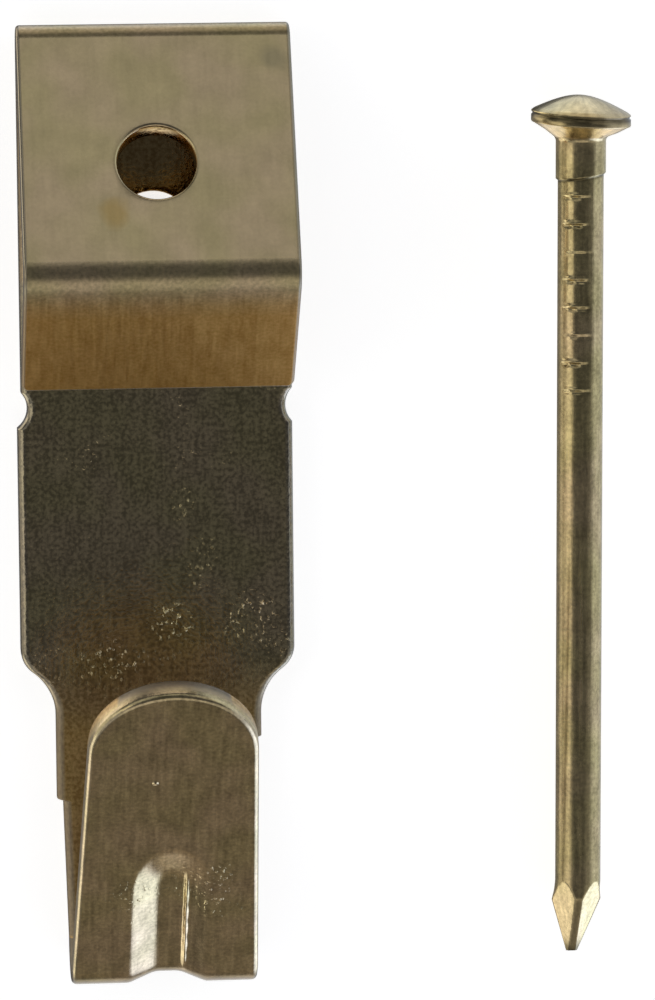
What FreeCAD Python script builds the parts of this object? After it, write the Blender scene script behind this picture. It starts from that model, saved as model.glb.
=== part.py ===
import FreeCAD, Part
import math
import os

import Sketcher
from FreeCAD import Placement, Rotation, Vector

# A picture hook folded from one strip of plated steel, with the nail that fixes it to the wall.
# The hook lies on its back: the wall face is the plane Z = 0, +Y runs up the wall to the top fold
# and +Z points away from the wall. The origin is the centre of the nail hole in the wall plate.
# The nail lies loose beside the hook, on the same plane. Lengths are in millimetres.

# Driving dimensions: name, value, meaning
SIZES = (
    ("strip_width", 9.0, "width of the strip at the nose and the wall plate"),
    ("sheet", 0.85, "thickness of the strip"),
    ("fold_top", 6.7, "height of the top fold above the wall plate's nail hole"),
    ("fold_radius", 0.75, "outer radius of the top fold, which is pressed flat"),
    ("front_tilt", 28.0, "angle between the front plate and the wall, degrees"),
    ("front_length", 7.8, "flat length of the front plate"),
    ("nose_radius", 0.15, "inner radius of the bend at the nose"),
    ("return_tilt", 45.0, "angle between the return plate and the wall, degrees"),
    ("return_gap", 0.06, "gap between the return's free end and the wall plate"),
    ("front_hole_drop", 4.4, "front nail hole's distance from the top fold, down the front plate"),
    ("hole_play", 1.1, "room that both nail holes leave around the nail"),
    ("notch_drop", 5.8, "depth of the side notches below the nail hole"),
    ("notch_radius", 0.8, "radius of the side notches"),
    ("notch_depth", 0.29, "depth of the side notches into the strip"),
    ("shoulder_drop", 13.75, "depth below the nail hole where the shoulders start"),
    ("shoulder_radius", 0.95, "outer radius of the shoulders"),
    ("waist_radius", 1.8, "inner radius where the shoulders run into the tail"),
    ("tail_width", 6.76, "width of the tail below the shoulders"),
    ("tail_step", 0.2, "step in each edge of the tail"),
    ("left_step_drop", 18.7, "depth of the left edge's step below the nail hole"),
    ("right_step_drop", 16.75, "depth of the right edge's step below the nail hole"),
    ("seat_drop", 23.35, "depth of the lower bend's centre below the nail hole"),
    ("seat_radius", 0.55, "inner radius of the lower bend, where the cord sits"),
    ("bend_width", 6.1, "width of the strip at the lower bend"),
    ("tongue_lean", 37.0, "angle between the tongue and the wall, degrees"),
    ("tongue_length", 13.0, "flat length of the tongue, from the lower bend to its round end"),
    ("tongue_width", 5.4, "width of the tongue at its round end"),
    ("dart_run", 5.2, "length of the stiffening dart at full depth on each side of the lower bend"),
    ("dart_ramp", 1.1, "length over which each end of the dart runs out"),
    ("dart_depth", 0.35, "depth of the dart"),
    ("dart_width", 2.45, "width of the dart at the surface"),
    ("dart_floor", 0.82, "width of the dart's floor"),
    ("nail_diameter", 1.5, "diameter of the nail's shank"),
    ("nail_length", 28.5, "length of the nail"),
    ("head_diameter", 3.25, "diameter of the nail's head"),
    ("dome_height", 0.55, "height of the head's dome"),
    ("rim_height", 0.4, "height of the head's rim"),
    ("underside_height", 0.42, "height of the cone under the head"),
    ("collar_diameter", 1.64, "diameter of the collar below the head"),
    ("collar_length", 1.3, "length of the collar"),
    ("grip_start", 3.3, "first grip mark's distance from the top of the head"),
    ("grip_pitch", 0.91, "distance between grip marks"),
    ("grip_count", 8, "number of grip marks"),
    ("grip_depth", 0.07, "depth of a grip mark"),
    ("grip_width", 0.3, "width of a grip mark"),
    ("point_angle", 17.5, "angle between a facet of the point and the nail's axis, degrees"),
    ("tip_width", 0.26, "width of the blunt tip"),
    ("nail_offset", 13.88, "distance of the nail from the hook's centre line"),
    ("nail_top", 4.25, "height of the nail's head beside the nail hole"),
    ("nail_turn", 0.2, "turn of the loose nail away from the hook's centre line, degrees"),
)

SHEET_NAME = "Sizes"
VALUE = {name: value for name, value, meaning in SIZES}

# Room by which a cutting outline reaches past the material
MARGIN = 1.0
# Depth of a cut through one sheet, as a multiple of its thickness, half to each side of the sketch
THROUGH_SHEET = 3


def make_sheet(doc):
    sheet = doc.addObject("Spreadsheet::Sheet", SHEET_NAME)
    for row, (name, value, meaning) in enumerate(SIZES, start=1):
        sheet.set("A%d" % row, name)
        sheet.set("B%d" % row, str(value))
        sheet.set("C%d" % row, meaning)
        sheet.setAlias("B%d" % row, name)
    doc.recompute()
    return sheet


def cell(name):
    return "%s.%s" % (SHEET_NAME, name)


def angle_cell(name):
    return "%s * 1 deg" % cell(name)


class Sketch:
    """A sketch in a body, with helpers for geometry and for sizes that follow the sheet."""

    START, END, CENTRE = range(1, 4)
    ORIGIN = (-1, 1)
    X_AXIS = -1
    Y_AXIS = -2

    def __init__(self, body, name, role, offset=None, bound=None):
        plane = next(item for item in body.Origin.OriginFeatures if item.Role == role)
        self.item = body.newObject("Sketcher::SketchObject", name)
        self.item.AttachmentSupport = [(plane, "")]
        self.item.MapMode = "FlatFace"
        if offset is not None:
            self.item.AttachmentOffset = offset
        for path, expression in (bound or {}).items():
            self.item.setExpression("AttachmentOffset." + path, expression)

    def line(self, start, end):
        return self.item.addGeometry(Part.LineSegment(Vector(*start, 0), Vector(*end, 0)), False)

    def arc(self, centre, radius, first_angle, last_angle):
        circle = Part.Circle(Vector(*centre, 0), Vector(0, 0, 1), radius)
        return self.item.addGeometry(Part.ArcOfCircle(circle, first_angle, last_angle), False)

    def circle(self, centre, radius):
        return self.item.addGeometry(Part.Circle(Vector(*centre, 0), Vector(0, 0, 1), radius), False)

    def rule(self, kind, *places):
        self.item.addConstraint(Sketcher.Constraint(kind, *places))

    def join(self, first, second):
        self.rule("Coincident", *first, *second)

    def blend(self, first, second):
        self.rule("Tangent", *first, *second)

    def size(self, kind, expression, *places_and_value):
        index = self.item.addConstraint(Sketcher.Constraint(kind, *places_and_value))
        self.item.setExpression("Constraints[%d]" % index, expression)

    def place_x(self, place, value, expression):
        """Sets the distance of a point from the vertical axis; value says on which side it lies."""
        if value >= 0:
            self.size("DistanceX", expression, *self.ORIGIN, *place, value)
        else:
            self.size("DistanceX", expression, *place, *self.ORIGIN, -value)

    def place_y(self, place, value, expression):
        """Sets the distance of a point from the horizontal axis; value says on which side it lies."""
        if value >= 0:
            self.size("DistanceY", expression, *self.ORIGIN, *place, value)
        else:
            self.size("DistanceY", expression, *place, *self.ORIGIN, -value)


def add_feature(body, kind, name, profile, **properties):
    feature = body.newObject("PartDesign::" + kind, name)
    feature.Profile = profile.item
    for key, value in properties.items():
        setattr(feature, key, value)
    return feature


def pad_or_pocket(body, kind, name, profile, length):
    """A pad or pocket that reaches equally far to both sides of its sketch."""
    feature = add_feature(body, kind, name, profile, SideType="Symmetric")
    feature.setExpression("Length", length)
    return feature


def polar(radius, angle):
    return Vector(radius * math.cos(angle), radius * math.sin(angle), 0)


def flat(vector):
    return (vector.x, vector.y)


class StripPath:
    """The strip seen from its side, with Y to the right and Z upwards."""

    def __init__(self):
        self.sheet = VALUE["sheet"]
        self.front = math.radians(VALUE["front_tilt"])
        self.back = math.radians(VALUE["return_tilt"])
        self.lean = math.radians(VALUE["tongue_lean"])
        self.front_normal = math.pi / 2 - self.front
        self.return_normal = math.pi / 2 + self.back
        self.tongue_normal = math.pi / 2 + self.lean
        fold_radius = VALUE["fold_radius"]
        self.nose_outer = VALUE["nose_radius"] + self.sheet
        self.seat_outer = VALUE["seat_radius"] + self.sheet

        self.fold_centre = Vector(VALUE["fold_top"] - fold_radius, fold_radius, 0)
        self.fold_end = self.fold_centre + polar(fold_radius, self.front_normal)
        self.front_end = self.fold_end + polar(VALUE["front_length"], math.pi - self.front)
        self.nose_centre = self.front_end - polar(self.nose_outer, self.front_normal)
        self.return_start = self.nose_centre + polar(self.nose_outer, self.return_normal)
        end_height = self.sheet * (1 + math.cos(self.back)) + VALUE["return_gap"]
        return_length = (self.return_start.y - end_height) / math.sin(self.back)
        self.return_end = self.return_start + polar(return_length, math.pi + self.back)

        self.seat_centre = Vector(-VALUE["seat_drop"], self.seat_outer, 0)
        self.tongue_start = self.seat_centre + polar(self.seat_outer, self.tongue_normal)
        self.tongue_end = self.tongue_start + polar(VALUE["tongue_length"], self.lean)

    def inside(self, point, normal):
        return point - polar(self.sheet, normal)


TONGUE_Y = "-{drop} - ({radius} + {sheet}) * sin({lean})".format(
    drop=cell("seat_drop"), radius=cell("seat_radius"), sheet=cell("sheet"), lean=angle_cell("tongue_lean"))
TONGUE_Z = "({radius} + {sheet}) * (1 + cos({lean}))".format(
    radius=cell("seat_radius"), sheet=cell("sheet"), lean=angle_cell("tongue_lean"))


def side_profile(body, path):
    """The folded strip's closed outline, seen from the side, with its thickness."""
    sketch = Sketch(body, "SideProfile", "YZ_Plane")
    start, end, centre = sketch.START, sketch.END, sketch.CENTRE
    down = -math.pi / 2
    sheet = path.sheet
    tail_bottom = 2 * math.pi + down

    # Outer side, from the return's free end over the nose and the fold to the tongue's tip
    return_out = sketch.line(flat(path.return_end), flat(path.return_start))
    nose_out = sketch.arc(flat(path.nose_centre), path.nose_outer, path.front_normal, path.return_normal)
    front_out = sketch.line(flat(path.front_end), flat(path.fold_end))
    fold_out = sketch.arc(flat(path.fold_centre), VALUE["fold_radius"], down, path.front_normal)
    wall_back = sketch.line((path.fold_centre.x, 0), (path.seat_centre.x, 0))
    seat_out = sketch.arc(flat(path.seat_centre), path.seat_outer, path.tongue_normal, tail_bottom)
    tongue_out = sketch.line(flat(path.tongue_start), flat(path.tongue_end))

    # Inner side, back from the tongue's tip to the return's free end
    tip_in = path.inside(path.tongue_end, path.tongue_normal)
    tongue_in_start = path.inside(path.tongue_start, path.tongue_normal)
    front_in_end = path.inside(path.front_end, path.front_normal)
    return_in_start = path.inside(path.return_start, path.return_normal)
    return_in_end = path.inside(path.return_end, path.return_normal)
    corner_run = (front_in_end.y - sheet) / math.tan(path.front)
    corner = (front_in_end.x + corner_run, sheet)
    tip = sketch.line(flat(path.tongue_end), flat(tip_in))
    tongue_in = sketch.line(flat(tip_in), flat(tongue_in_start))
    seat_in = sketch.arc(flat(path.seat_centre), VALUE["seat_radius"], path.tongue_normal, tail_bottom)
    wall_front = sketch.line((path.seat_centre.x, sheet), corner)
    front_in = sketch.line(corner, flat(front_in_end))
    nose_in = sketch.arc(flat(path.nose_centre), VALUE["nose_radius"], path.front_normal, path.return_normal)
    return_in = sketch.line(flat(return_in_start), flat(return_in_end))
    free_end = sketch.line(flat(return_in_end), flat(path.return_end))

    for first, second in (
        ((return_out, end), (nose_out, end)),
        ((nose_out, start), (front_out, start)),
        ((front_out, end), (fold_out, end)),
        ((fold_out, start), (wall_back, start)),
        ((wall_back, end), (seat_out, end)),
        ((seat_out, start), (tongue_out, start)),
        ((tongue_in, end), (seat_in, start)),
        ((seat_in, end), (wall_front, start)),
        ((front_in, end), (nose_in, start)),
        ((nose_in, end), (return_in, start)),
    ):
        sketch.blend(first, second)
    for first, second in (
        ((tongue_out, end), (tip, start)),
        ((tip, end), (tongue_in, start)),
        ((wall_front, end), (front_in, start)),
        ((return_in, end), (free_end, start)),
        ((free_end, end), (return_out, start)),
        ((nose_in, centre), (nose_out, centre)),
        ((seat_in, centre), (seat_out, centre)),
    ):
        sketch.join(first, second)
    sketch.rule("Horizontal", wall_back)
    sketch.rule("Horizontal", wall_front)
    sketch.rule("Parallel", front_in, front_out)
    sketch.rule("Parallel", return_in, return_out)
    sketch.rule("Parallel", tongue_in, tongue_out)
    sketch.rule("Perpendicular", tip, tongue_out)
    sketch.rule("Perpendicular", free_end, return_out)
    sketch.rule("PointOnObject", wall_back, start, sketch.X_AXIS)

    sketch.size("DistanceY", cell("sheet"), wall_back, end, wall_front, start, sheet)
    sketch.size("Distance", cell("sheet"), front_in, end, front_out, sheet)
    sketch.size("Radius", cell("fold_radius"), fold_out, VALUE["fold_radius"])
    sketch.size("Radius", cell("nose_radius"), nose_in, VALUE["nose_radius"])
    sketch.size("Radius", cell("seat_radius"), seat_in, VALUE["seat_radius"])
    sketch.size("Angle", "180 deg - " + angle_cell("front_tilt"), sketch.X_AXIS, start, front_out, end,
                math.pi - path.front)
    sketch.size("Angle", angle_cell("return_tilt"), sketch.X_AXIS, start, return_out, start, path.back)
    sketch.size("Angle", angle_cell("tongue_lean"), sketch.X_AXIS, start, tongue_out, start, path.lean)
    sketch.size("Distance", cell("front_length"), front_out, VALUE["front_length"])
    sketch.size("Distance", cell("tongue_length"), tongue_out, VALUE["tongue_length"])
    sketch.place_x((fold_out, centre), path.fold_centre.x, cell("fold_top") + " - " + cell("fold_radius"))
    sketch.place_x((seat_out, centre), path.seat_centre.x, cell("seat_drop"))
    sketch.size("DistanceY", cell("return_gap"), wall_front, end, return_in, end, VALUE["return_gap"])
    return sketch


def tail_edge(sketch, side, step_name):
    """One side of the cut that leaves the shoulder, the tail and its step; side is 1 or -1."""
    start, end, centre = sketch.START, sketch.END, sketch.CENTRE
    edge = VALUE["strip_width"] / 2
    tail = VALUE["tail_width"] / 2
    step = VALUE["tail_step"]
    outer, inner = VALUE["shoulder_radius"], VALUE["waist_radius"]
    slope = math.acos(1 - (edge - tail) / (outer + inner))
    top = -VALUE["shoulder_drop"]
    waist = top - (outer + inner) * math.sin(slope)
    ledge_y = -VALUE[step_name]
    bend_y = -VALUE["seat_drop"]
    foot = bend_y - VALUE["seat_radius"] - VALUE["sheet"] - MARGIN
    bend = VALUE["bend_width"] / 2

    if side > 0:
        shoulder = sketch.arc((edge - outer, top), outer, -slope, 0)
        hollow = sketch.arc((tail + inner, waist), inner, math.pi - slope, math.pi)
        shoulder_top, shoulder_low, hollow_high, hollow_low = end, start, start, end
    else:
        shoulder = sketch.arc((outer - edge, top), outer, math.pi, math.pi + slope)
        hollow = sketch.arc((-tail - inner, waist), inner, 0, slope)
        shoulder_top, shoulder_low, hollow_high, hollow_low = start, end, end, start
    points = [(tail, waist), (tail, ledge_y), (tail - step, ledge_y), (bend, bend_y), (bend, foot),
              (edge + MARGIN, foot), (edge + MARGIN, top), (edge, top)]
    lines = [sketch.line((side * x0, y0), (side * x1, y1))
             for (x0, y0), (x1, y1) in zip(points, points[1:])]
    upper, ledge, lower, bend_side, bottom, outside, across = lines

    sketch.blend((shoulder, shoulder_low), (hollow, hollow_high))
    sketch.blend((hollow, hollow_low), (upper, start))
    for first, second in zip(lines, lines[1:]):
        sketch.join((first, end), (second, start))
    sketch.join((across, end), (shoulder, shoulder_top))
    for upright in (upper, bend_side, outside):
        sketch.rule("Vertical", upright)
    for level in (ledge, bottom, across):
        sketch.rule("Horizontal", level)
    sketch.rule("Horizontal", shoulder, shoulder_top, shoulder, centre)

    sketch.size("Radius", cell("shoulder_radius"), shoulder, outer)
    sketch.size("Radius", cell("waist_radius"), hollow, inner)
    sketch.place_x((shoulder, shoulder_top), side * edge, cell("strip_width") + " / 2")
    sketch.place_y((shoulder, shoulder_top), top, cell("shoulder_drop"))
    sketch.place_x((upper, end), side * tail, cell("tail_width") + " / 2")
    sketch.place_y((upper, end), ledge_y, cell(step_name))
    sketch.size("Distance", cell("tail_step"), ledge, step)
    sketch.place_x((lower, end), side * bend, cell("bend_width") + " / 2")
    sketch.place_y((lower, end), bend_y, cell("seat_drop"))
    sketch.place_y((bottom, start), foot, "%s + %s + %s + %g" % (
        cell("seat_drop"), cell("seat_radius"), cell("sheet"), MARGIN))
    sketch.place_x((outside, start), side * (edge + MARGIN), "%s / 2 + %g" % (cell("strip_width"), MARGIN))


def notch(sketch, side):
    """A round relief notch in one edge of the wall plate, just below the return's free end."""
    radius = VALUE["notch_radius"]
    reach = VALUE["strip_width"] / 2 + radius - VALUE["notch_depth"]
    circle = sketch.circle((side * reach, -VALUE["notch_drop"]), radius)
    sketch.size("Radius", cell("notch_radius"), circle, radius)
    sketch.place_x((circle, sketch.CENTRE), side * reach, "%s / 2 + %s - %s" % (
        cell("strip_width"), cell("notch_radius"), cell("notch_depth")))
    sketch.place_y((circle, sketch.CENTRE), -VALUE["notch_drop"], cell("notch_drop"))


def tongue_outline(body, path):
    """The cut around the tongue, which leaves its tapering sides and full round end."""
    offset = Placement(Vector(0, path.tongue_start.x, path.tongue_start.y),
                       Rotation(Vector(1, 0, 0), VALUE["tongue_lean"]))
    sketch = Sketch(body, "TongueOutline", "XY_Plane", offset, {
        "Base.y": TONGUE_Y, "Base.z": TONGUE_Z, "Rotation.Angle": angle_cell("tongue_lean")})
    start, end, centre = sketch.START, sketch.END, sketch.CENTRE
    radius = VALUE["tongue_width"] / 2
    bend = VALUE["bend_width"] / 2
    length = VALUE["tongue_length"]
    outside = VALUE["strip_width"] / 2 + MARGIN
    eye = length - radius
    taper = math.acos(radius / math.hypot(bend, eye)) - math.atan2(eye, bend)
    touch = polar(radius, taper)

    tip = sketch.arc((0, eye), radius, taper, math.pi - taper)
    right = sketch.line((bend, 0), (touch.x, eye + touch.y))
    left = sketch.line((-touch.x, eye + touch.y), (-bend, 0))
    frame_points = [(-bend, 0), (-outside, 0), (-outside, length + MARGIN),
                    (outside, length + MARGIN), (outside, 0), (bend, 0)]
    frame = [sketch.line(first, second) for first, second in zip(frame_points, frame_points[1:])]
    left_foot, left_side, top, right_side, right_foot = frame

    sketch.blend((right, end), (tip, start))
    sketch.blend((tip, end), (left, start))
    sketch.join((left, end), (left_foot, start))
    for first, second in zip(frame, frame[1:]):
        sketch.join((first, end), (second, start))
    sketch.join((right_foot, end), (right, start))
    for level in (left_foot, top, right_foot):
        sketch.rule("Horizontal", level)
    for upright in (left_side, right_side):
        sketch.rule("Vertical", upright)
    sketch.rule("PointOnObject", left_foot, start, sketch.X_AXIS)
    sketch.rule("PointOnObject", right_foot, end, sketch.X_AXIS)
    sketch.rule("PointOnObject", tip, centre, sketch.Y_AXIS)
    sketch.size("Radius", cell("tongue_width") + " / 2", tip, radius)
    sketch.place_y((tip, centre), eye, "%s - %s / 2" % (cell("tongue_length"), cell("tongue_width")))
    sketch.place_x((right, start), bend, cell("bend_width") + " / 2")
    sketch.place_x((left, end), -bend, cell("bend_width") + " / 2")
    side_expression = "%s / 2 + %g" % (cell("strip_width"), MARGIN)
    sketch.place_x((left_side, start), -outside, side_expression)
    sketch.place_x((right_side, start), outside, side_expression)
    sketch.place_y((top, start), length + MARGIN, "%s + %g" % (cell("tongue_length"), MARGIN))
    return sketch


def nail_hole(body, name, offset, bound, drop, drop_expression):
    """A round nail hole; drop is its distance below the sketch's own origin."""
    sketch = Sketch(body, name, "XY_Plane", offset, bound)
    radius = (VALUE["nail_diameter"] + VALUE["hole_play"]) / 2
    circle = sketch.circle((0, -drop), radius)
    sketch.size("Radius", "(%s + %s) / 2" % (cell("nail_diameter"), cell("hole_play")), circle, radius)
    sketch.rule("PointOnObject", circle, sketch.CENTRE, sketch.Y_AXIS)
    if drop_expression:
        sketch.place_y((circle, sketch.CENTRE), -drop, drop_expression)
    else:
        sketch.rule("PointOnObject", circle, sketch.CENTRE, sketch.X_AXIS)
    return sketch


def dart_path(body, path):
    """The line that the dart follows on the outer side: down the tongue, round the bend, up the tail."""
    sketch = Sketch(body, "DartPath", "YZ_Plane")
    start, end, centre = sketch.START, sketch.END, sketch.CENTRE
    run = VALUE["dart_run"]
    high = path.tongue_start + polar(run, path.lean)
    down = sketch.line(flat(high), flat(path.tongue_start))
    bend = sketch.arc(flat(path.seat_centre), path.seat_outer, path.tongue_normal, 1.5 * math.pi)
    up = sketch.line((path.seat_centre.x, 0), (path.seat_centre.x + run, 0))
    sketch.blend((down, end), (bend, start))
    sketch.blend((bend, end), (up, start))
    sketch.rule("Horizontal", up)
    sketch.rule("PointOnObject", up, start, sketch.X_AXIS)
    sketch.size("Radius", "%s + %s" % (cell("seat_radius"), cell("sheet")), bend, path.seat_outer)
    sketch.place_x((bend, centre), path.seat_centre.x, cell("seat_drop"))
    sketch.size("Angle", angle_cell("tongue_lean"), sketch.X_AXIS, start, down, end, path.lean)
    sketch.size("Distance", cell("dart_run"), down, run)
    sketch.size("Distance", cell("dart_run"), up, run)
    return sketch


SLOPE = "({width} - {floor}) / (2 * {depth})".format(
    width=cell("dart_width"), floor=cell("dart_floor"), depth=cell("dart_depth"))


def dart_section(body, name, offset, bound, half_floor, floor, half_mouth, mouth):
    """A trapezium across the dart; each size is a pair of its value and its expression."""
    sketch = Sketch(body, name, "XY_Plane", offset, bound)
    start, end = sketch.START, sketch.END
    corners = [(-half_floor[0], floor[0]), (half_floor[0], floor[0]),
               (half_mouth[0], mouth[0]), (-half_mouth[0], mouth[0])]
    sides = [sketch.line(first, second) for first, second in zip(corners, corners[1:] + corners[:1])]
    for first, second in zip(sides, sides[1:] + sides[:1]):
        sketch.join((first, end), (second, start))
    low, right, high, left = sides
    sketch.rule("Horizontal", high)
    sketch.rule("Symmetric", low, start, low, end, sketch.Y_AXIS)
    sketch.place_x((low, end), half_floor[0], half_floor[1])
    sketch.place_x((high, start), half_mouth[0], half_mouth[1])
    sketch.place_x((high, end), -half_mouth[0], half_mouth[1])
    for line, level in ((low, floor), (high, mouth)):
        if level[0] == 0:
            sketch.rule("PointOnObject", line, start, sketch.X_AXIS)
        else:
            sketch.place_y((line, start), level[0], level[1])
    return sketch


def dart_solid(body, path, spine, raised):
    """One side of the dart: the pressed groove outside, or the raised bead inside."""
    depth = VALUE["dart_depth"]
    slope = (VALUE["dart_width"] - VALUE["dart_floor"]) / (2 * depth)
    sheet = VALUE["sheet"]
    half = VALUE["dart_floor"] / 2
    half_text = cell("dart_floor") + " / 2"
    # The bead is the groove's form carried through the sheet, so it is wider by this much
    spread = sheet * math.tan(math.atan(1 / slope) / 2)
    spread_text = "%s * tan(atan(1 / (%s)) / 2)" % (cell("sheet"), SLOPE)
    lift = sheet / 2
    lift_text = cell("sheet") + " / 2"
    if raised:
        kind, label = "Additive", "Bead"
        full_floor = (-sheet - depth, "%s + %s" % (cell("sheet"), cell("dart_depth")))
        end_floor = (-sheet, cell("sheet"))
        mouth = (lift - sheet, "%s - %s" % (cell("sheet"), lift_text))
        half, half_text = half + spread, "%s + %s" % (half_text, spread_text)
    else:
        kind, label = "Subtractive", "Groove"
        full_floor = (-depth, cell("dart_depth"))
        end_floor = (0, "0")
        mouth = (lift, lift_text)
    full_mouth = (half + slope * (depth + lift), "%s + %s * (%s + %s)" % (
        half_text, SLOPE, cell("dart_depth"), lift_text))
    end_mouth = (half + slope * lift, "%s + %s * %s" % (half_text, SLOPE, lift_text))

    run, ramp = VALUE["dart_run"], VALUE["dart_ramp"]
    sections = {}
    for place, distance, distance_text, floor, wide in (
            ("Full", run, cell("dart_run"), full_floor, full_mouth),
            ("End", run + ramp, "%s + %s" % (cell("dart_run"), cell("dart_ramp")), end_floor, end_mouth)):
        point = path.tongue_start + polar(distance, path.lean)
        sections["Tongue", place] = dart_section(
            body, label + "Tongue" + place,
            Placement(Vector(0, point.x, point.y), Rotation(Vector(1, 0, 0), 90 + VALUE["tongue_lean"])),
            {"Base.y": "%s + (%s) * cos(%s)" % (TONGUE_Y, distance_text, angle_cell("tongue_lean")),
             "Base.z": "%s + (%s) * sin(%s)" % (TONGUE_Z, distance_text, angle_cell("tongue_lean")),
             "Rotation.Angle": "90 deg + " + angle_cell("tongue_lean")},
            (half, half_text), floor, wide, mouth)
        sections["Tail", place] = dart_section(
            body, label + "Tail" + place,
            Placement(Vector(0, path.seat_centre.x + distance, 0), Rotation(Vector(1, 0, 0), -90)),
            {"Base.y": "-%s + %s" % (cell("seat_drop"), distance_text)},
            (half, half_text), floor, wide, mouth)

    pipe = add_feature(body, kind + "Pipe", label, sections["Tongue", "Full"])
    pipe.Spine = (spine.item, [])
    for leg in ("Tongue", "Tail"):
        loft = add_feature(body, kind + "Loft", label + leg, sections[leg, "Full"], Ruled=True)
        loft.Sections = [sections[leg, "End"].item]


def make_hook(doc):
    body = doc.addObject("PartDesign::Body", "Hook")
    body.Label = "hook"
    path = StripPath()

    strip = side_profile(body, path)
    pad_or_pocket(body, "Pad", "Strip", strip, cell("strip_width"))

    front_view = Sketch(body, "FrontOutline", "XY_Plane")
    tail_edge(front_view, 1, "right_step_drop")
    tail_edge(front_view, -1, "left_step_drop")
    notch(front_view, 1)
    notch(front_view, -1)
    pad_or_pocket(body, "Pocket", "Outline", front_view,
                  "2 * (%s + %s)" % (cell("tongue_length"), cell("strip_width")))

    around_tongue = tongue_outline(body, path)
    through = "%d * %s" % (THROUGH_SHEET, cell("sheet"))
    pad_or_pocket(body, "Pocket", "Tongue", around_tongue, through)

    front_plane = Placement(Vector(0, path.fold_end.x, path.fold_end.y),
                            Rotation(Vector(-1, 0, 0), VALUE["front_tilt"]))
    front_bound = {
        "Base.y": "%s - %s * (1 - sin(%s))" % (
            cell("fold_top"), cell("fold_radius"), angle_cell("front_tilt")),
        "Base.z": "%s * (1 + cos(%s))" % (cell("fold_radius"), angle_cell("front_tilt")),
        "Rotation.Angle": angle_cell("front_tilt")}
    front_hole = nail_hole(body, "FrontHoleOutline", front_plane, front_bound,
                           VALUE["front_hole_drop"], cell("front_hole_drop"))
    pad_or_pocket(body, "Pocket", "FrontHole", front_hole, through)
    back_hole = nail_hole(body, "BackHoleOutline", None, None, 0, None)
    pad_or_pocket(body, "Pocket", "BackHole", back_hole, through)

    spine = dart_path(body, path)
    dart_solid(body, path, spine, raised=True)
    dart_solid(body, path, spine, raised=False)
    return body


def nail_profile(body):
    """Half of the nail's section, with its axis upwards and the tip of its point at the origin."""
    sketch = Sketch(body, "NailProfile", "XZ_Plane")
    start, end, centre = sketch.START, sketch.END, sketch.CENTRE
    length = VALUE["nail_length"]
    head = VALUE["head_diameter"] / 2
    collar = VALUE["collar_diameter"] / 2
    shank = VALUE["nail_diameter"] / 2
    dome = VALUE["dome_height"]
    rim_top = length - dome
    rim_low = rim_top - VALUE["rim_height"]
    neck = rim_low - VALUE["underside_height"]
    collar_low = neck - VALUE["collar_length"]
    dome_radius = (head * head + dome * dome) / (2 * dome)
    half_angle = math.asin(head / dome_radius)

    points = [(0, length), (0, 0), (shank, 0), (shank, collar_low), (collar, collar_low),
              (collar, neck), (head, rim_low), (head, rim_top)]
    lines = [sketch.line(first, second) for first, second in zip(points, points[1:])]
    axis, foot, shank_side, step, collar_side, underside, rim = lines
    cap = sketch.arc((0, length - dome_radius), dome_radius, math.pi / 2 - half_angle, math.pi / 2)
    for first, second in zip(lines, lines[1:]):
        sketch.join((first, end), (second, start))
    sketch.join((rim, end), (cap, start))
    sketch.join((cap, end), (axis, start))
    for upright in (axis, shank_side, collar_side, rim):
        sketch.rule("Vertical", upright)
    for level in (foot, step):
        sketch.rule("Horizontal", level)
    sketch.join((axis, end), sketch.ORIGIN)
    sketch.rule("PointOnObject", cap, centre, sketch.Y_AXIS)

    rim_top_text = "%s - %s" % (cell("nail_length"), cell("dome_height"))
    rim_low_text = "%s - %s" % (rim_top_text, cell("rim_height"))
    neck_text = "%s - %s" % (rim_low_text, cell("underside_height"))
    sketch.place_y((axis, start), length, cell("nail_length"))
    sketch.place_x((foot, end), shank, cell("nail_diameter") + " / 2")
    sketch.place_x((step, end), collar, cell("collar_diameter") + " / 2")
    sketch.place_x((underside, end), head, cell("head_diameter") + " / 2")
    sketch.place_y((rim, end), rim_top, rim_top_text)
    sketch.place_y((rim, start), rim_low, rim_low_text)
    sketch.place_y((collar_side, end), neck, neck_text)
    sketch.place_y((step, start), collar_low, "%s - %s" % (neck_text, cell("collar_length")))
    return sketch


def facet_cut(body):
    """The wedge that one flat facet of the diamond point takes off the shank."""
    sketch = Sketch(body, "FacetOutline", "XZ_Plane")
    start, end = sketch.START, sketch.END
    tip = VALUE["tip_width"] / 2
    reach = VALUE["nail_diameter"]
    rise = (reach - tip) / math.tan(math.radians(VALUE["point_angle"]))
    points = [(tip, 0), (reach, 0), (reach, rise), (tip, 0)]
    foot, outside, facet = [sketch.line(first, second) for first, second in zip(points, points[1:])]
    sketch.join((foot, end), (outside, start))
    sketch.join((outside, end), (facet, start))
    sketch.join((facet, end), (foot, start))
    sketch.rule("Vertical", outside)
    sketch.rule("PointOnObject", foot, start, sketch.X_AXIS)
    sketch.rule("PointOnObject", foot, end, sketch.X_AXIS)
    sketch.place_x((foot, start), tip, cell("tip_width") + " / 2")
    sketch.place_x((foot, end), reach, cell("nail_diameter"))
    sketch.place_y((outside, end), rise, "(%s - %s / 2) / tan(%s)" % (
        cell("nail_diameter"), cell("tip_width"), angle_cell("point_angle")))
    return sketch


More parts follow.
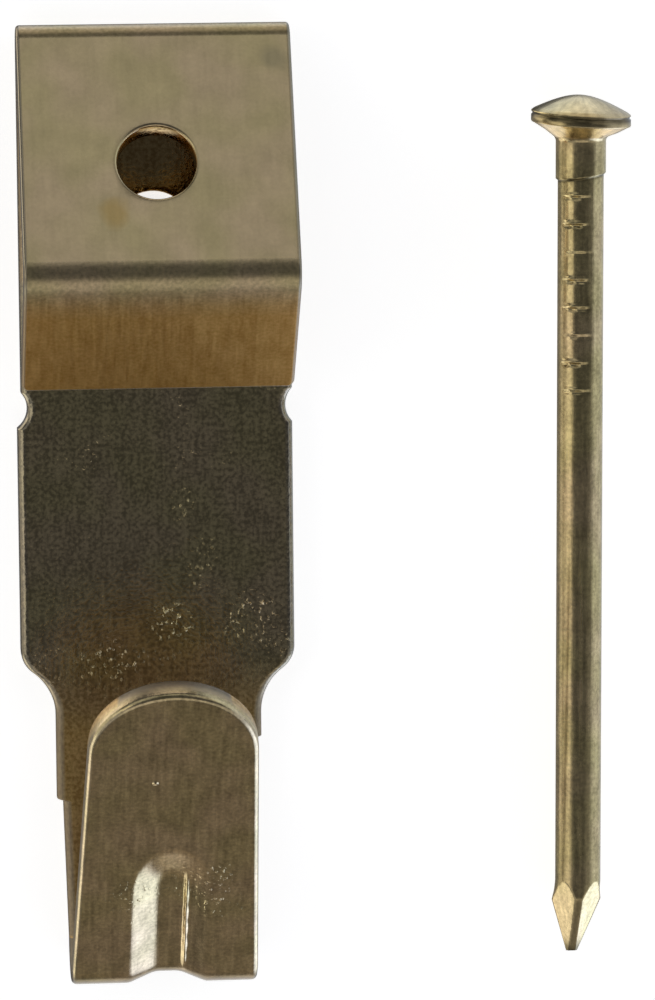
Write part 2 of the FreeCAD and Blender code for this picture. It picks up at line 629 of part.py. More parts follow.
def grip_mark(body):
    """A shallow V across one side of the shank, left by the dies that held the wire."""
    sketch = Sketch(body, "GripOutline", "XZ_Plane")
    start, end = sketch.START, sketch.END
    surface = VALUE["nail_diameter"] / 2
    depth, half = VALUE["grip_depth"], VALUE["grip_width"] / 2
    # The mouth of the V lies as far outside the shank as its root lies inside
    level = VALUE["nail_length"] - VALUE["grip_start"]
    points = [(surface - depth, level), (surface + depth, level + 2 * half),
              (surface + depth, level - 2 * half), (surface - depth, level)]
    upper, mouth, lower = [sketch.line(first, second) for first, second in zip(points, points[1:])]
    sketch.join((upper, end), (mouth, start))
    sketch.join((mouth, end), (lower, start))
    sketch.join((lower, end), (upper, start))
    sketch.rule("Vertical", mouth)
    level_text = "%s - %s" % (cell("nail_length"), cell("grip_start"))
    radius_text = cell("nail_diameter") + " / 2"
    sketch.place_x((upper, start), surface - depth, "%s - %s" % (radius_text, cell("grip_depth")))
    sketch.place_y((upper, start), level, level_text)
    sketch.place_x((mouth, start), surface + depth, "%s + %s" % (radius_text, cell("grip_depth")))
    sketch.place_y((mouth, start), level + 2 * half, "%s + %s" % (level_text, cell("grip_width")))
    sketch.place_y((mouth, end), level - 2 * half, "%s - %s" % (level_text, cell("grip_width")))
    return sketch


def nail_placement():
    """The nail at rest: its head's rim and the end of its shank touch the plane that the hook lies on."""
    head = VALUE["head_diameter"] / 2
    shank = VALUE["nail_diameter"] / 2
    tip = VALUE["tip_width"] / 2
    slope = math.tan(math.radians(VALUE["point_angle"]))
    rim_low = VALUE["nail_length"] - VALUE["dome_height"] - VALUE["rim_height"]
    # A ridge of the point faces down, so the round shank starts where that ridge leaves it
    shank_low = (shank * math.cos(math.pi / 4) - tip) / slope
    tilt = math.atan((head - shank) / (rim_low - shank_low))
    tip_height = (shank - shank_low * math.tan(tilt)) * math.cos(tilt)
    ridge_down = Rotation(Vector(0, 0, 1), 45)
    lie_down = Rotation(Vector(1, 0, 0), math.degrees(tilt) - 90)
    turn = Rotation(Vector(0, 0, 1), -VALUE["nail_turn"])
    rotation = turn * lie_down * ridge_down
    middle = Vector(VALUE["nail_offset"], VALUE["nail_top"], 0)
    run = rotation.multVec(Vector(0, 0, VALUE["nail_length"]))
    base = Vector(middle.x - run.x / 2, middle.y - run.y, tip_height)
    return Placement(base, rotation)


def make_nail(doc):
    body = doc.addObject("PartDesign::Body", "Nail")
    body.Label = "nail"
    axis = next(item for item in body.Origin.OriginFeatures if item.Role == "Z_Axis")

    profile = nail_profile(body)
    add_feature(body, "Revolution", "Turned", profile, ReferenceAxis=(profile.item, ["V_Axis"]), Angle=360)
    doc.recompute()

    facet = facet_cut(body)
    wedge = pad_or_pocket(body, "Pocket", "Facet", facet, "4 * " + cell("nail_diameter"))
    doc.recompute()
    point = body.newObject("PartDesign::PolarPattern", "DiamondPoint")
    point.Originals = [wedge]
    point.Axis = (axis, [""])
    point.Angle = 360
    point.Occurrences = 4
    body.Tip = point
    doc.recompute()

    # The marks face up and down as the nail lies, half-way between two facets
    mark = grip_mark(body)
    mark.item.AttachmentOffset = Placement(Vector(0, 0, 0), Rotation(Vector(0, 1, 0), -45))
    cut = pad_or_pocket(body, "Pocket", "Grip", mark, "2 * " + cell("nail_diameter"))
    doc.recompute()
    grips = body.newObject("PartDesign::LinearPattern", "GripMarks")
    grips.Originals = [cut]
    grips.Direction = (axis, [""])
    grips.Reversed = True
    grips.setExpression("Length", "%s * (%s - 1)" % (cell("grip_pitch"), cell("grip_count")))
    grips.setExpression("Occurrences", cell("grip_count"))
    body.Tip = grips
    doc.recompute()
    body.Placement = nail_placement()
    return body


def check(doc, bodies):
    """Stops if any object failed or any solid is not sound."""
    for item in doc.Objects:
        if "Invalid" in item.State or "Error" in item.State:
            raise RuntimeError("%s failed: %s" % (item.Name, item.State))
    for body in bodies:
        shape = body.Shape
        if shape.isNull() or not shape.isValid() or len(shape.Solids) != 1:
            raise RuntimeError("%s is not one sound solid" % body.Label)


def main():
    doc = FreeCAD.newDocument("PictureHook")
    make_sheet(doc)
    bodies = [make_hook(doc), make_nail(doc)]
    doc.recompute()
    check(doc, bodies)
    os.makedirs("parts", exist_ok=True)
    for body in bodies:
        body.Shape.exportStep("parts/%s.step" % body.Label)
        box = body.Shape.optimalBoundingBox()
        print("%s: volume %.3f mm3, X %.2f to %.2f, Y %.2f to %.2f, Z %.3f to %.2f" % (
            body.Label, body.Shape.Volume, box.XMin, box.XMax, box.YMin, box.YMax, box.ZMin, box.ZMax))


main()
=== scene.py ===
import math

import bmesh
import bpy
import numpy as np
from mathutils import Matrix, Vector


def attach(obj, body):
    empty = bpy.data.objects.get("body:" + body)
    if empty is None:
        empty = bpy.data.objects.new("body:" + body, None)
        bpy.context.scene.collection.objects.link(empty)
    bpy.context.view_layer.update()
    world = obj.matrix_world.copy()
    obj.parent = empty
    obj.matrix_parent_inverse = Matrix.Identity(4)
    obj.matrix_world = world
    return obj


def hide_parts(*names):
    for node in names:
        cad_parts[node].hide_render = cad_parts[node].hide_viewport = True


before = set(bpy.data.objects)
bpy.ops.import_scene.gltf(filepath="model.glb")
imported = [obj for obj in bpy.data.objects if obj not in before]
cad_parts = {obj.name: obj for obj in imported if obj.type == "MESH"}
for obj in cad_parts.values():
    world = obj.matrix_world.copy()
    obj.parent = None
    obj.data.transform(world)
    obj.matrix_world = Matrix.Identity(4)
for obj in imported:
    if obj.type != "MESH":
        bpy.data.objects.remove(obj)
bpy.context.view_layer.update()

# A brass-plated picture hook, folded from one strip, and its nail, lying on a pale floor.
# Sizes are in millimetres in the part's frame and become metres when a mesh is made.
MM = 0.001

# The strip
STRIP_WIDTH = 9.0
SHEET = 0.85
FOLD_TOP = 6.7
FOLD_RADIUS = 0.75
FRONT_TILT = math.radians(28)
FRONT_LENGTH = 7.8
NOSE_INSIDE = 0.15
NOSE_RADIUS = NOSE_INSIDE + SHEET
RETURN_TILT = math.radians(45)
RETURN_GAP = 0.06
HOLE_RADIUS = 1.27
FRONT_HOLE_DROP = 4.4
NOTCH_DROP = 5.8
NOTCH_RADIUS = 0.8
SHOULDER_DROP = 13.75
SHOULDER_RADIUS = 0.95
WAIST_RADIUS = 1.8
TAIL_WIDTH = 6.76
TAIL_STEP = 0.2
STEP_RUN = 0.1
SEAT_DROP = 23.35
SEAT_INSIDE = 0.55
SEAT_RADIUS = SEAT_INSIDE + SHEET
BEND_WIDTH = 6.1
TONGUE_LEAN = math.radians(37)
TONGUE_LENGTH = 13.0
TONGUE_WIDTH = 5.4
DART_RUN = 5.9
DART_DEPTH = 0.38
DART_WIDTH = 2.6
DART_FLOOR = 0.81
DART_SHIFT = 0.1
DART_END = 2.1

# Rounding of the plates' outer edges, the tongue's, the inner face's, the free end's and the holes', then of
# the free end's two corners and of the dart's
OUTER_EDGE = 0.12
TONGUE_EDGE = 0.17
INNER_EDGE = 0.28
FREE_EDGE = 0.12
HOLE_EDGE = 0.1
END_CORNER = 0.3
DART_ROUNDING = 0.07

# A fine, slightly wavy ridge that the punch left on the dart's right slope
RIDGE_HEIGHT = 0.11
RIDGE_SPREAD = 0.11
RIDGE_PLACE = DART_SHIFT + DART_FLOOR / 2 + RIDGE_SPREAD
RIDGE_REACH = 1.0
RIDGE_WAVE = 8.0
RIDGE_UNEVEN = 0.15

# The nail
NAIL_DIAMETER = 1.5
NAIL_LENGTH = 28.5
HEAD_DIAMETER = 3.25
DOME_HEIGHT = 0.55
DOME_BLUNT = 0.6
RIM_HEIGHT = 0.4
RIM_ROUND = 0.05
UNDERSIDE_HEIGHT = 0.42
GROOVE_WIDTH = 0.06
GROOVE_DEPTH = 0.04
COLLAR_DIAMETER = 1.64
COLLAR_LENGTH = 1.3
GRIP_START = 3.3
GRIP_PITCH = 0.91
GRIP_COUNT = 8
GRIP_DEPTH = 0.05
POINT_SLOPE = math.tan(math.radians(14.3))
TIP_WIDTH = 0.26
NAIL_OFFSET = 13.88
NAIL_TOP = 4.25
NAIL_TURN = math.radians(0.2)

# Heights on the nail, above its tip
RIM_TOP = NAIL_LENGTH - DOME_HEIGHT
RIM_LOW = RIM_TOP - RIM_HEIGHT
NECK = RIM_LOW - UNDERSIDE_HEIGHT
GROOVE = RIM_TOP - RIM_ROUND - GROOVE_WIDTH

# The photograph's camera: place in millimetres, turn in radians, focal length in pixels
CAMERA_PLACE = (-10.80, 15.83, 190.77)
CAMERA_TURN = (-0.1293, -0.0862, -0.0092)
FOCAL_PIXELS = 5864.6
IMAGE_HEIGHT = 1000
SENSOR_HEIGHT = 24.0
CLIP_START = 10.0


class Edge:
    """What differs between the strip's left and right edge."""

    def __init__(self, side, step_drop, notch_depth, front_inset):
        self.side = side
        self.step_drop = step_drop
        self.notch_depth = notch_depth
        self.front_inset = front_inset


LEFT = Edge(-1, step_drop=18.7, notch_depth=0.33, front_inset=0.13)
RIGHT = Edge(1, step_drop=16.75, notch_depth=0.22, front_inset=0.0)


class FoldPath:
    """The strip's outer face seen from the side, measured by the distance along it from the free end."""

    def __init__(self):
        seat_length = SEAT_RADIUS * (math.pi - TONGUE_LEAN)
        fold_length = FOLD_RADIUS * (math.pi - FRONT_TILT)
        nose_length = NOSE_RADIUS * (FRONT_TILT + RETURN_TILT)
        fold_centre = np.array((FOLD_TOP - FOLD_RADIUS, FOLD_RADIUS))
        fold_end = fold_centre + FOLD_RADIUS * np.array((math.sin(FRONT_TILT), math.cos(FRONT_TILT)))
        front_end = fold_end + FRONT_LENGTH * np.array((-math.cos(FRONT_TILT), math.sin(FRONT_TILT)))
        nose_centre = front_end - NOSE_RADIUS * np.array((math.sin(FRONT_TILT), math.cos(FRONT_TILT)))
        return_top = nose_centre + NOSE_RADIUS * np.array((-math.sin(RETURN_TILT), math.cos(RETURN_TILT)))
        end_height = SHEET * (1 + math.cos(RETURN_TILT)) + RETURN_GAP
        return_length = (return_top[1] - end_height) / math.sin(RETURN_TILT)
        self.start = return_top - return_length * np.array((math.cos(RETURN_TILT), math.sin(RETURN_TILT)))

        # Each stretch is its length and, in a bend, its radius
        self.stretches = [(return_length, None), (nose_length, NOSE_RADIUS), (FRONT_LENGTH, None),
                          (fold_length, FOLD_RADIUS), (fold_centre[0] + SEAT_DROP, None),
                          (seat_length, SEAT_RADIUS), (TONGUE_LENGTH, None)]
        ends = np.cumsum([length for length, radius in self.stretches])
        (self.nose_start, self.nose_end, self.fold_start, self.fold_end,
         self.seat_start, self.seat_end, self.tip) = ends
        self.front_hole = self.fold_start - FRONT_HOLE_DROP
        self.back_hole = self.on_wall(0)

        # The inner faces of the front plate and the wall plate meet in a sharp corner inside the fold
        inner_front = front_end - SHEET * np.array((math.sin(FRONT_TILT), math.cos(FRONT_TILT)))
        corner_run = (inner_front[1] - SHEET) / math.tan(FRONT_TILT)
        self.corner = np.array((inner_front[0] + corner_run, SHEET))

    def on_wall(self, y):
        """The distance along the strip of a height on the wall plate."""
        return self.fold_end + FOLD_TOP - FOLD_RADIUS - y

    def bending(self, along):
        """1 in the nose and the top fold, 0 elsewhere."""
        nose = (along > self.nose_start) & (along < self.nose_end)
        fold = (along > self.fold_start) & (along < self.fold_end)
        return (nose | fold).astype(float)

    def at(self, along):
        """Points and outward normals, as (y, z) pairs, at an array of distances along the strip."""
        along = np.asarray(along, float)
        points = np.zeros(along.shape + (2,))
        normals = np.zeros(along.shape + (2,))
        corner, heading, begin = self.start, RETURN_TILT, 0.0
        for index, (length, radius) in enumerate(self.stretches):
            direction = np.array((math.cos(heading), math.sin(heading)))
            outward = np.array((-direction[1], direction[0]))
            inside = along >= begin if index else along > -np.inf
            offset = (along - begin)[inside]
            if radius is None:
                points[inside] = corner + offset[:, None] * direction
                normals[inside] = outward
                corner = corner + length * direction
            else:
                centre = corner - radius * outward
                angle = heading + math.pi / 2 - offset / radius
                normals[inside] = np.stack((np.cos(angle), np.sin(angle)), 1)
                points[inside] = centre + radius * normals[inside]
                heading -= length / radius
                corner = centre + radius * np.array((-math.sin(heading), math.cos(heading)))
            begin += length
        return points, normals


PATH = FoldPath()


def smooth_min(first, second, rounding):
    """The smaller of two values, with the corner between them rounded."""
    blend = np.clip(0.5 + 0.5 * (second - first) / rounding, 0, 1)
    return second + (first - second) * blend - rounding * blend * (1 - blend)


def dart_depth(across, along):
    """How far the stiffening dart is pressed in: a trough with sloping walls, round ends and a fine ridge."""
    slope = DART_DEPTH / ((DART_WIDTH - DART_FLOOR) / 2)
    radius = DART_WIDTH / 2
    first, last = PATH.seat_start - DART_RUN + DART_END, PATH.seat_end + DART_RUN - DART_END
    beyond = np.maximum(np.maximum(first - along, along - last), 0) * radius / DART_END
    inside = (radius - np.hypot(across - DART_SHIFT, beyond)) * slope
    depth = smooth_min(inside, np.full_like(inside, DART_DEPTH), DART_ROUNDING)
    lifted = smooth_min(-depth, np.zeros_like(depth), DART_ROUNDING)
    ridge = RIDGE_HEIGHT * np.clip(1 - np.abs(across - RIDGE_PLACE) / RIDGE_SPREAD, 0, 1)
    fade_out = np.clip(last + RIDGE_REACH - along, 0, 1)
    fade_in = np.clip((along - PATH.seat_end) / RIDGE_REACH + 0.5, 0, 1)
    wave = 1 - RIDGE_UNEVEN + RIDGE_UNEVEN * np.sin(RIDGE_WAVE * along)
    ridge = ridge * fade_out * fade_in * wave
    return np.maximum(-lifted - DART_ROUNDING / 4 - ridge, 0)


def tongue_taper():
    """The angle at which the tongue narrows, so that its sides run into its round end."""
    radius, bend = TONGUE_WIDTH / 2, BEND_WIDTH / 2
    eye = TONGUE_LENGTH - radius
    return math.acos(radius / math.hypot(bend, eye)) - math.atan2(eye, bend)


def half_width(along, side):
    """The strip's half width at distances along it, up to where the tongue's round end starts."""
    y = PATH.on_wall(0) - along
    edge, tail, bend = STRIP_WIDTH / 2, TAIL_WIDTH / 2, BEND_WIDTH / 2
    step_drop = side.step_drop
    end = np.clip(END_CORNER - along, 0, END_CORNER)
    width = edge - END_CORNER + np.sqrt(END_CORNER ** 2 - end ** 2)

    # Above the notches one edge stands back a little
    width = np.where(along < PATH.on_wall(-NOTCH_DROP), width - side.front_inset, width)

    # Notch
    off = np.abs(y + NOTCH_DROP)
    reach = np.sqrt(np.maximum(NOTCH_RADIUS ** 2 - off ** 2, 0))
    on_wall = along > PATH.fold_end
    width = np.where(on_wall, np.minimum(width, edge + NOTCH_RADIUS - side.notch_depth - reach), width)

    # Shoulder: one arc outwards, one inwards
    slope = math.acos(1 - (edge - tail) / (SHOULDER_RADIUS + WAIST_RADIUS))
    down = -SHOULDER_DROP - y
    turn_over = SHOULDER_RADIUS * math.sin(slope)
    waist = (SHOULDER_RADIUS + WAIST_RADIUS) * math.sin(slope)
    below_shoulder = np.clip(down, 0, None)
    above_tail = np.clip(waist - down, 0, None)
    upper = edge - SHOULDER_RADIUS + np.sqrt(np.maximum(SHOULDER_RADIUS ** 2 - below_shoulder ** 2, 0))
    lower = tail + WAIST_RADIUS - np.sqrt(np.maximum(WAIST_RADIUS ** 2 - above_tail ** 2, 0))
    width = np.where(down > 0, np.where(down < turn_over, upper, lower), width)

    # Step and taper
    below = np.clip((-step_drop - y) / STEP_RUN, 0, 1)
    fall = below * below * (3 - 2 * below)
    run = np.clip((-step_drop - y) / (SEAT_DROP - step_drop), 0, 1)
    stepped = tail - TAIL_STEP * fall - (tail - TAIL_STEP - bend) * run
    width = np.where(-y > step_drop, np.minimum(width, stepped), width)

    # Tongue
    up = np.clip(along - PATH.seat_end, 0, None)
    return np.where(along > PATH.seat_end, bend - up * math.tan(tongue_taper()), width)


def spaced(first, last, step):
    """Even places from first to last, about a step apart."""
    return np.linspace(first, last, max(2, int(math.ceil(abs(last - first) / step)) + 1))


def divided(stops):
    """Places from 0 through each stop, each stretch divided by the step that its stop names."""
    places = [0.0]
    for stop, step in stops:
        places.extend(spaced(places[-1], stop, step)[1:])
    return np.array(places)


# How finely the strip is divided: around a hole, beside a bend, in a bend, where it is flat, in the dart and
# its ridge, on the tail's steps, across its outer parts, round its edges and round the tongue's end
HOLE_PATCH = 1.75
HOLE_CELLS = 14
HOLE_RINGS = 3
GUARD = 0.03
BEND_CELL = 0.06
FLAT_CELL = 0.6
DART_CELL = 0.09
DART_MARGIN = 0.2
RIDGE_CELLS = 4
STEP_CELLS = 6
OUTER_COLUMNS = 6
COLUMN_DIGITS = 5
LEAST_COLUMN = 0.004
EDGE_STEPS = 4
TIP_ROWS = 28
# Points closer than this are one
MERGE = 0.0005
# How far from the middle of the top fold its inner corner is looked after
CORNER_REACH = 3 * SHEET


def strip_rows():
    """Distances along the strip where its cross sections lie, up to the start of the round end."""
    notch = PATH.on_wall(-NOTCH_DROP)
    shoulder = PATH.on_wall(-SHOULDER_DROP)
    right_step = PATH.on_wall(-RIGHT.step_drop)
    left_step = PATH.on_wall(-LEFT.step_drop)
    reach = DART_RUN + DART_CELL
    hole_cell = 2 * HOLE_PATCH / HOLE_CELLS
    step_cell = STEP_RUN / STEP_CELLS
    return divided((
        (END_CORNER, GUARD), (PATH.nose_start - GUARD, FLAT_CELL), (PATH.nose_start, GUARD),
        (PATH.nose_end, BEND_CELL), (PATH.nose_end + GUARD, GUARD),
        (PATH.front_hole - HOLE_PATCH, FLAT_CELL), (PATH.front_hole + HOLE_PATCH, hole_cell),
        (PATH.fold_start - GUARD, FLAT_CELL), (PATH.fold_start, GUARD),
        (PATH.fold_end, BEND_CELL), (PATH.fold_end + GUARD, GUARD),
        (PATH.back_hole - HOLE_PATCH, FLAT_CELL), (PATH.back_hole + HOLE_PATCH, hole_cell),
        (notch - NOTCH_RADIUS, FLAT_CELL), (notch + NOTCH_RADIUS, GUARD),
        (shoulder, FLAT_CELL), (right_step - GUARD, BEND_CELL), (right_step + STEP_RUN, step_cell),
        (PATH.seat_start - reach, DART_CELL), (left_step - GUARD, DART_CELL),
        (left_step + STEP_RUN, step_cell), (PATH.seat_start, DART_CELL),
        (PATH.seat_end, BEND_CELL), (PATH.seat_end + GUARD, GUARD),
        (PATH.seat_end + reach, DART_CELL), (PATH.tip - TONGUE_WIDTH / 2, FLAT_CELL)))


def strip_columns():
    """Places across the strip, from -1 at its left edge line to 1 at its right one."""
    half, half_bend = STRIP_WIDTH / 2 - OUTER_EDGE, BEND_WIDTH / 2
    patch = HOLE_PATCH / half
    dart = (DART_WIDTH / 2 + DART_SHIFT + DART_MARGIN) / (half_bend - OUTER_EDGE)
    middle = spaced(-patch, patch, 2 * patch / HOLE_CELLS)
    fine = spaced(-dart, dart, DART_CELL / half_bend)
    ridge_cell = RIDGE_SPREAD / RIDGE_CELLS
    ridge = spaced(RIDGE_PLACE - RIDGE_SPREAD, RIDGE_PLACE + RIDGE_SPREAD, ridge_cell) / half_bend
    outer = np.concatenate((np.linspace(patch, 1 - GUARD / half, OUTER_COLUMNS), [1.0]))
    columns = np.unique(np.round(np.concatenate((middle, fine, ridge, outer, -outer)), COLUMN_DIGITS))
    apart = np.diff(columns) > LEAST_COLUMN
    return columns[np.concatenate(([True], apart))]


def edge_profile(top_bevel, bottom_bevel):
    """Points down the strip's rounded edge: distance in from the outline, and height."""
    angles = np.linspace(0, math.pi / 2, EDGE_STEPS + 1)
    top = [(top_bevel * (1 - math.sin(a)), top_bevel * (math.cos(a) - 1)) for a in angles]
    bottom = [(bottom_bevel * (1 - math.cos(a)), bottom_bevel * (1 - math.sin(a)) - SHEET) for a in angles]
    return top + bottom


# Where the strip's surface changes: the share of its thickness that is still a face, the fading of the
# return's painted amber reflection, the tail's start and fading, the fading of the painted shade under the
# lower bend, and the free end's rim
FACE_SHARE = 0.01
REFLECTED_AMBER_FADE = 1.2
TAIL_DROP = 14.0
TAIL_FADE = 2.5
BEND_FADE = 0.6
FREE_BARE = 0.1
# How much painted amber reflection, bare metal and added roughness the places have; under the tongue the bare
# metal's grey goes with its painted shade
REFLECTED_AMBER_SHARES = {"return": 1.0, "tail": 0.7, "behind_front": 0.7}
BARE_SHARES = {"free_end": 0.8, "under_tongue": 0.6, "plate_edge": 0.4, "tongue_edge": 0.1}
ROUGH_SHARES = {"under_tongue": 0.4, "tail": 0.4, "nose": 0.3, "free_end": 0.3, "bend": 0.12,
                "tongue_edge": 0.1}
# How bright the places darkened by painted shade are (under the tongue, on the plates' edges and behind the
# front plate, in the top fold), how much darker the tail is made, how bright the painted shade under the
# lower bend is, and how little the front plate is brushed
UNDER_SHADE = 0.4
EDGE_SHADE = 0.5
FOLD_SHADE = 0.7
TAIL_SHADE = 0.92
BEND_SHADE = 0.2
FRONT_BRUSHED = 0.2


def strongest(places, shares):
    """The largest share that holds at each point."""
    return np.maximum.reduce([share * places[name] for name, share in shares.items()])


class Strip:
    """Gathers places on the flat strip (across, along, height), and faces between them."""

    def __init__(self):
        self.places = []
        self.faces = []

    def add(self, across, along, height):
        self.places.append((across, along, height))
        return len(self.places) - 1

    def bridge(self, first, second):
        """Quads between two closed rings of points."""
        count = len(first)
        for here in range(count):
            there = (here + 1) % count
            self.faces.append((first[here], first[there], second[there], second[here]))

    def folded(self):
        """The points in space, folded along the path and pressed by the dart."""
        across, along, height = np.array(self.places).T
        depth = dart_depth(across, along) - height
        outer, normal = PATH.at(along)
        place = outer - depth[:, None] * normal
        # Inside the top fold nothing passes the plane that halves the corner
        middle = (PATH.fold_start + PATH.fold_end) / 2
        halving = np.array((math.sin(FRONT_TILT / 2), math.cos(FRONT_TILT / 2)))
        side = np.where(along < middle, 1.0, -1.0)
        inside = (np.abs(along - middle) < CORNER_REACH) & (height < -SHEET / 2)
        past = inside & (((place - PATH.corner) @ halving) * side < MERGE)
        place[past] = PATH.corner
        return np.column_stack((across, place))

    def surface(self):
        """Each point's flat place, how much painted amber reflection, bare metal, roughness and brushing it
        has there, and how far it is darkened, mostly by painted shade.
        """
        across, along, height = np.array(self.places).T
        inner = -height / SHEET
        outer_side, inner_side = inner < 0.5, inner > 0.5
        after_seat = along > PATH.seat_start
        on_edge = (inner > FACE_SHARE) & (inner < 1 - FACE_SHARE) & (np.abs(across) > HOLE_PATCH)
        round_end = along > PATH.tip - TONGUE_WIDTH / 2
        nose_run = PATH.nose_end - PATH.nose_start
        places = {
            "return": np.clip((PATH.nose_start + REFLECTED_AMBER_FADE / 4 - along) / REFLECTED_AMBER_FADE, 0, 1),
            "nose": np.clip((PATH.nose_end - along) / nose_run, 0, 1) * outer_side,
            "bend": PATH.bending(along),
            "in_fold": outer_side & (along > PATH.fold_start) & (along < PATH.fold_end),
            "behind_front": inner_side & (along > PATH.nose_end) & (along < PATH.on_wall(-HOLE_PATCH)),
            "tail": np.clip((along - PATH.on_wall(-TAIL_DROP)) / TAIL_FADE, 0, 1) * inner_side,
            "under_bend": np.clip((PATH.seat_end - along) / BEND_FADE, 0, 1) * outer_side * after_seat,
            "under_tongue": inner_side & after_seat & ~(on_edge & round_end),
            "plate_edge": on_edge & (along < PATH.seat_start),
            "tongue_edge": on_edge & after_seat,
            "free_end": (inner < 1 - FACE_SHARE) & (along < FREE_BARE),
        }
        # Painted shade: the tongue's underside, the plates' edges, the inside behind the front plate, the top
        # fold and the outside of the lower bend are darkened; the tail is only made a little darker
        painted_shade_places = (places["under_tongue"], places["plate_edge"] | places["behind_front"], places["in_fold"])
        tail_and_bend_darkening = 1 - (1 - TAIL_SHADE) * places["tail"] - (1 - BEND_SHADE) * places["under_bend"]
        return {
            "across": across,
            "along": along,
            "inner": inner,
            "bend": places["bend"],
            "reflected_amber": strongest(places, REFLECTED_AMBER_SHARES),
            "bare": strongest(places, BARE_SHARES),
            "rough": strongest(places, ROUGH_SHARES),
            "brushed": np.where((along < PATH.nose_start) | (along > PATH.fold_end), 1.0, FRONT_BRUSHED),
            "shade": np.select(painted_shade_places, (UNDER_SHADE, EDGE_SHADE, FOLD_SHADE), tail_and_bend_darkening),
        }


def outline(side_rows, side):
    """One side's outline on the flat strip, with half of the round end, and which way its bevel runs in."""
    radius = TONGUE_WIDTH / 2
    turn = np.linspace(tongue_taper(), math.pi / 2, TIP_ROWS)
    along = np.concatenate((side_rows, PATH.tip - radius + radius * np.sin(turn)))
    width = np.concatenate((half_width(side_rows, side), radius * np.cos(turn)))
    inward = np.concatenate((np.zeros(len(side_rows)), turn))
    normal = np.column_stack((-np.sin(inward), -np.cos(inward)))
    return along, np.maximum(width, 0), normal


def end_rounding(along, bevel):
    """How much the strip's face drops towards the free end, which is rounded like the edges."""
    left = np.clip(bevel - along, 0, bevel)
    return bevel - math.sqrt(bevel * bevel - left * left)


def add_hole(strip, grid, rows, columns, along):
    """Fills the square left open around a nail hole with rings, and makes the hole's rounded wall."""
    row_span = [int(np.argmin(np.abs(rows - (along + side * HOLE_PATCH)))) for side in (-1, 1)]
    half = STRIP_WIDTH / 2 - OUTER_EDGE
    col_span = [int(np.argmin(np.abs(columns - side * HOLE_PATCH / half))) for side in (-1, 1)]
    (r0, r1), (c0, c1) = row_span, col_span
    border = ([(r0, c) for c in range(c0, c1)] + [(r, c1) for r in range(r0, r1)]
              + [(r1, c) for c in range(c1, c0, -1)] + [(r, c0) for r in range(r1, r0, -1)])
    rings = {}
    angles = None
    for face, level in (("top", 0.0), ("bottom", -SHEET)):
        edge = [grid[face][r][c] for r, c in border]
        flat = np.array([strip.places[i] for i in edge])
        if angles is None:
            angles = np.arctan2(flat[:, 1] - along, flat[:, 0])
        circle = np.column_stack((np.cos(angles), np.sin(angles))) * (HOLE_RADIUS + HOLE_EDGE)
        previous = edge
        for ring in range(1, HOLE_RINGS + 1):
            share = ring / HOLE_RINGS
            points = flat[:, :2] * (1 - share) + (circle + (0, along)) * share
            current = [strip.add(x, s, level) for x, s in points]
            strip.bridge(previous, current)
            previous = current
        rings[face] = previous
    previous = rings["top"]
    for inset, height in edge_profile(HOLE_EDGE, HOLE_EDGE)[1:-1]:
        radius = HOLE_RADIUS + inset
        current = [strip.add(radius * math.cos(a), along + radius * math.sin(a), height) for a in angles]
        strip.bridge(previous, current)
        previous = current
    strip.bridge(previous, rings["bottom"])
    return r0, r1, c0, c1


def make_hook():
    """The folded strip: a grid for each of its two faces and two edges, with the nail holes set in."""
    rows = strip_rows()
    columns = strip_columns()
    strip = Strip()
    outlines = {side: outline(rows, side) for side in (LEFT, RIGHT)}
    share = (columns + 1) / 2
    grid = {"top": [], "bottom": [], "left": [], "right": []}
    for row in range(len(rows) + TIP_ROWS):
        start = outlines[LEFT][0][row]
        outer_edge = TONGUE_EDGE if start > PATH.seat_start else OUTER_EDGE
        profile = edge_profile(outer_edge, INNER_EDGE)
        drop = end_rounding(start, FREE_EDGE)
        rise = end_rounding(start, INNER_EDGE)

        def edge_point(side, inset):
            along, width, normal = outlines[side]
            across = max(width[row] + inset * normal[row][1], 0)
            return side.side * across, along[row] + inset * normal[row][0]

        for face, inset, height in (("top", outer_edge, -drop), ("bottom", INNER_EDGE, rise - SHEET)):
            left, right = edge_point(LEFT, inset), edge_point(RIGHT, inset)
            across = left[0] + (right[0] - left[0]) * share
            along = left[1] + (right[1] - left[1]) * share
            grid[face].append([strip.add(x, y, height) for x, y in zip(across, along)])
        for name, side, column in (("left", LEFT, 0), ("right", RIGHT, -1)):
            chain = [grid["top"][row][column]]
            for inset, height in profile[1:-1]:
                across, along = edge_point(side, inset)
                chain.append(strip.add(across, along, min(max(height, rise - SHEET), -drop)))
            chain.append(grid["bottom"][row][column])
            grid[name].append(chain)

    holes = [add_hole(strip, grid, rows, columns, place) for place in (PATH.front_hole, PATH.back_hole)]
    for name, lines in grid.items():
        for row in range(len(lines) - 1):
            for cell in range(len(lines[row]) - 1):
                on_face = name in ("top", "bottom")
                if on_face and any(r0 <= row < r1 and c0 <= cell < c1 for r0, r1, c0, c1 in holes):
                    continue
                strip.faces.append((lines[row][cell], lines[row][cell + 1],
                                    lines[row + 1][cell + 1], lines[row + 1][cell]))
    strip.faces.append(tuple(grid["top"][0] + grid["right"][0][1:-1]
                             + grid["bottom"][0][::-1] + grid["left"][0][1:-1][::-1]))
    return new_piece("hook_strip", strip.folded(), strip.faces, strip.surface())


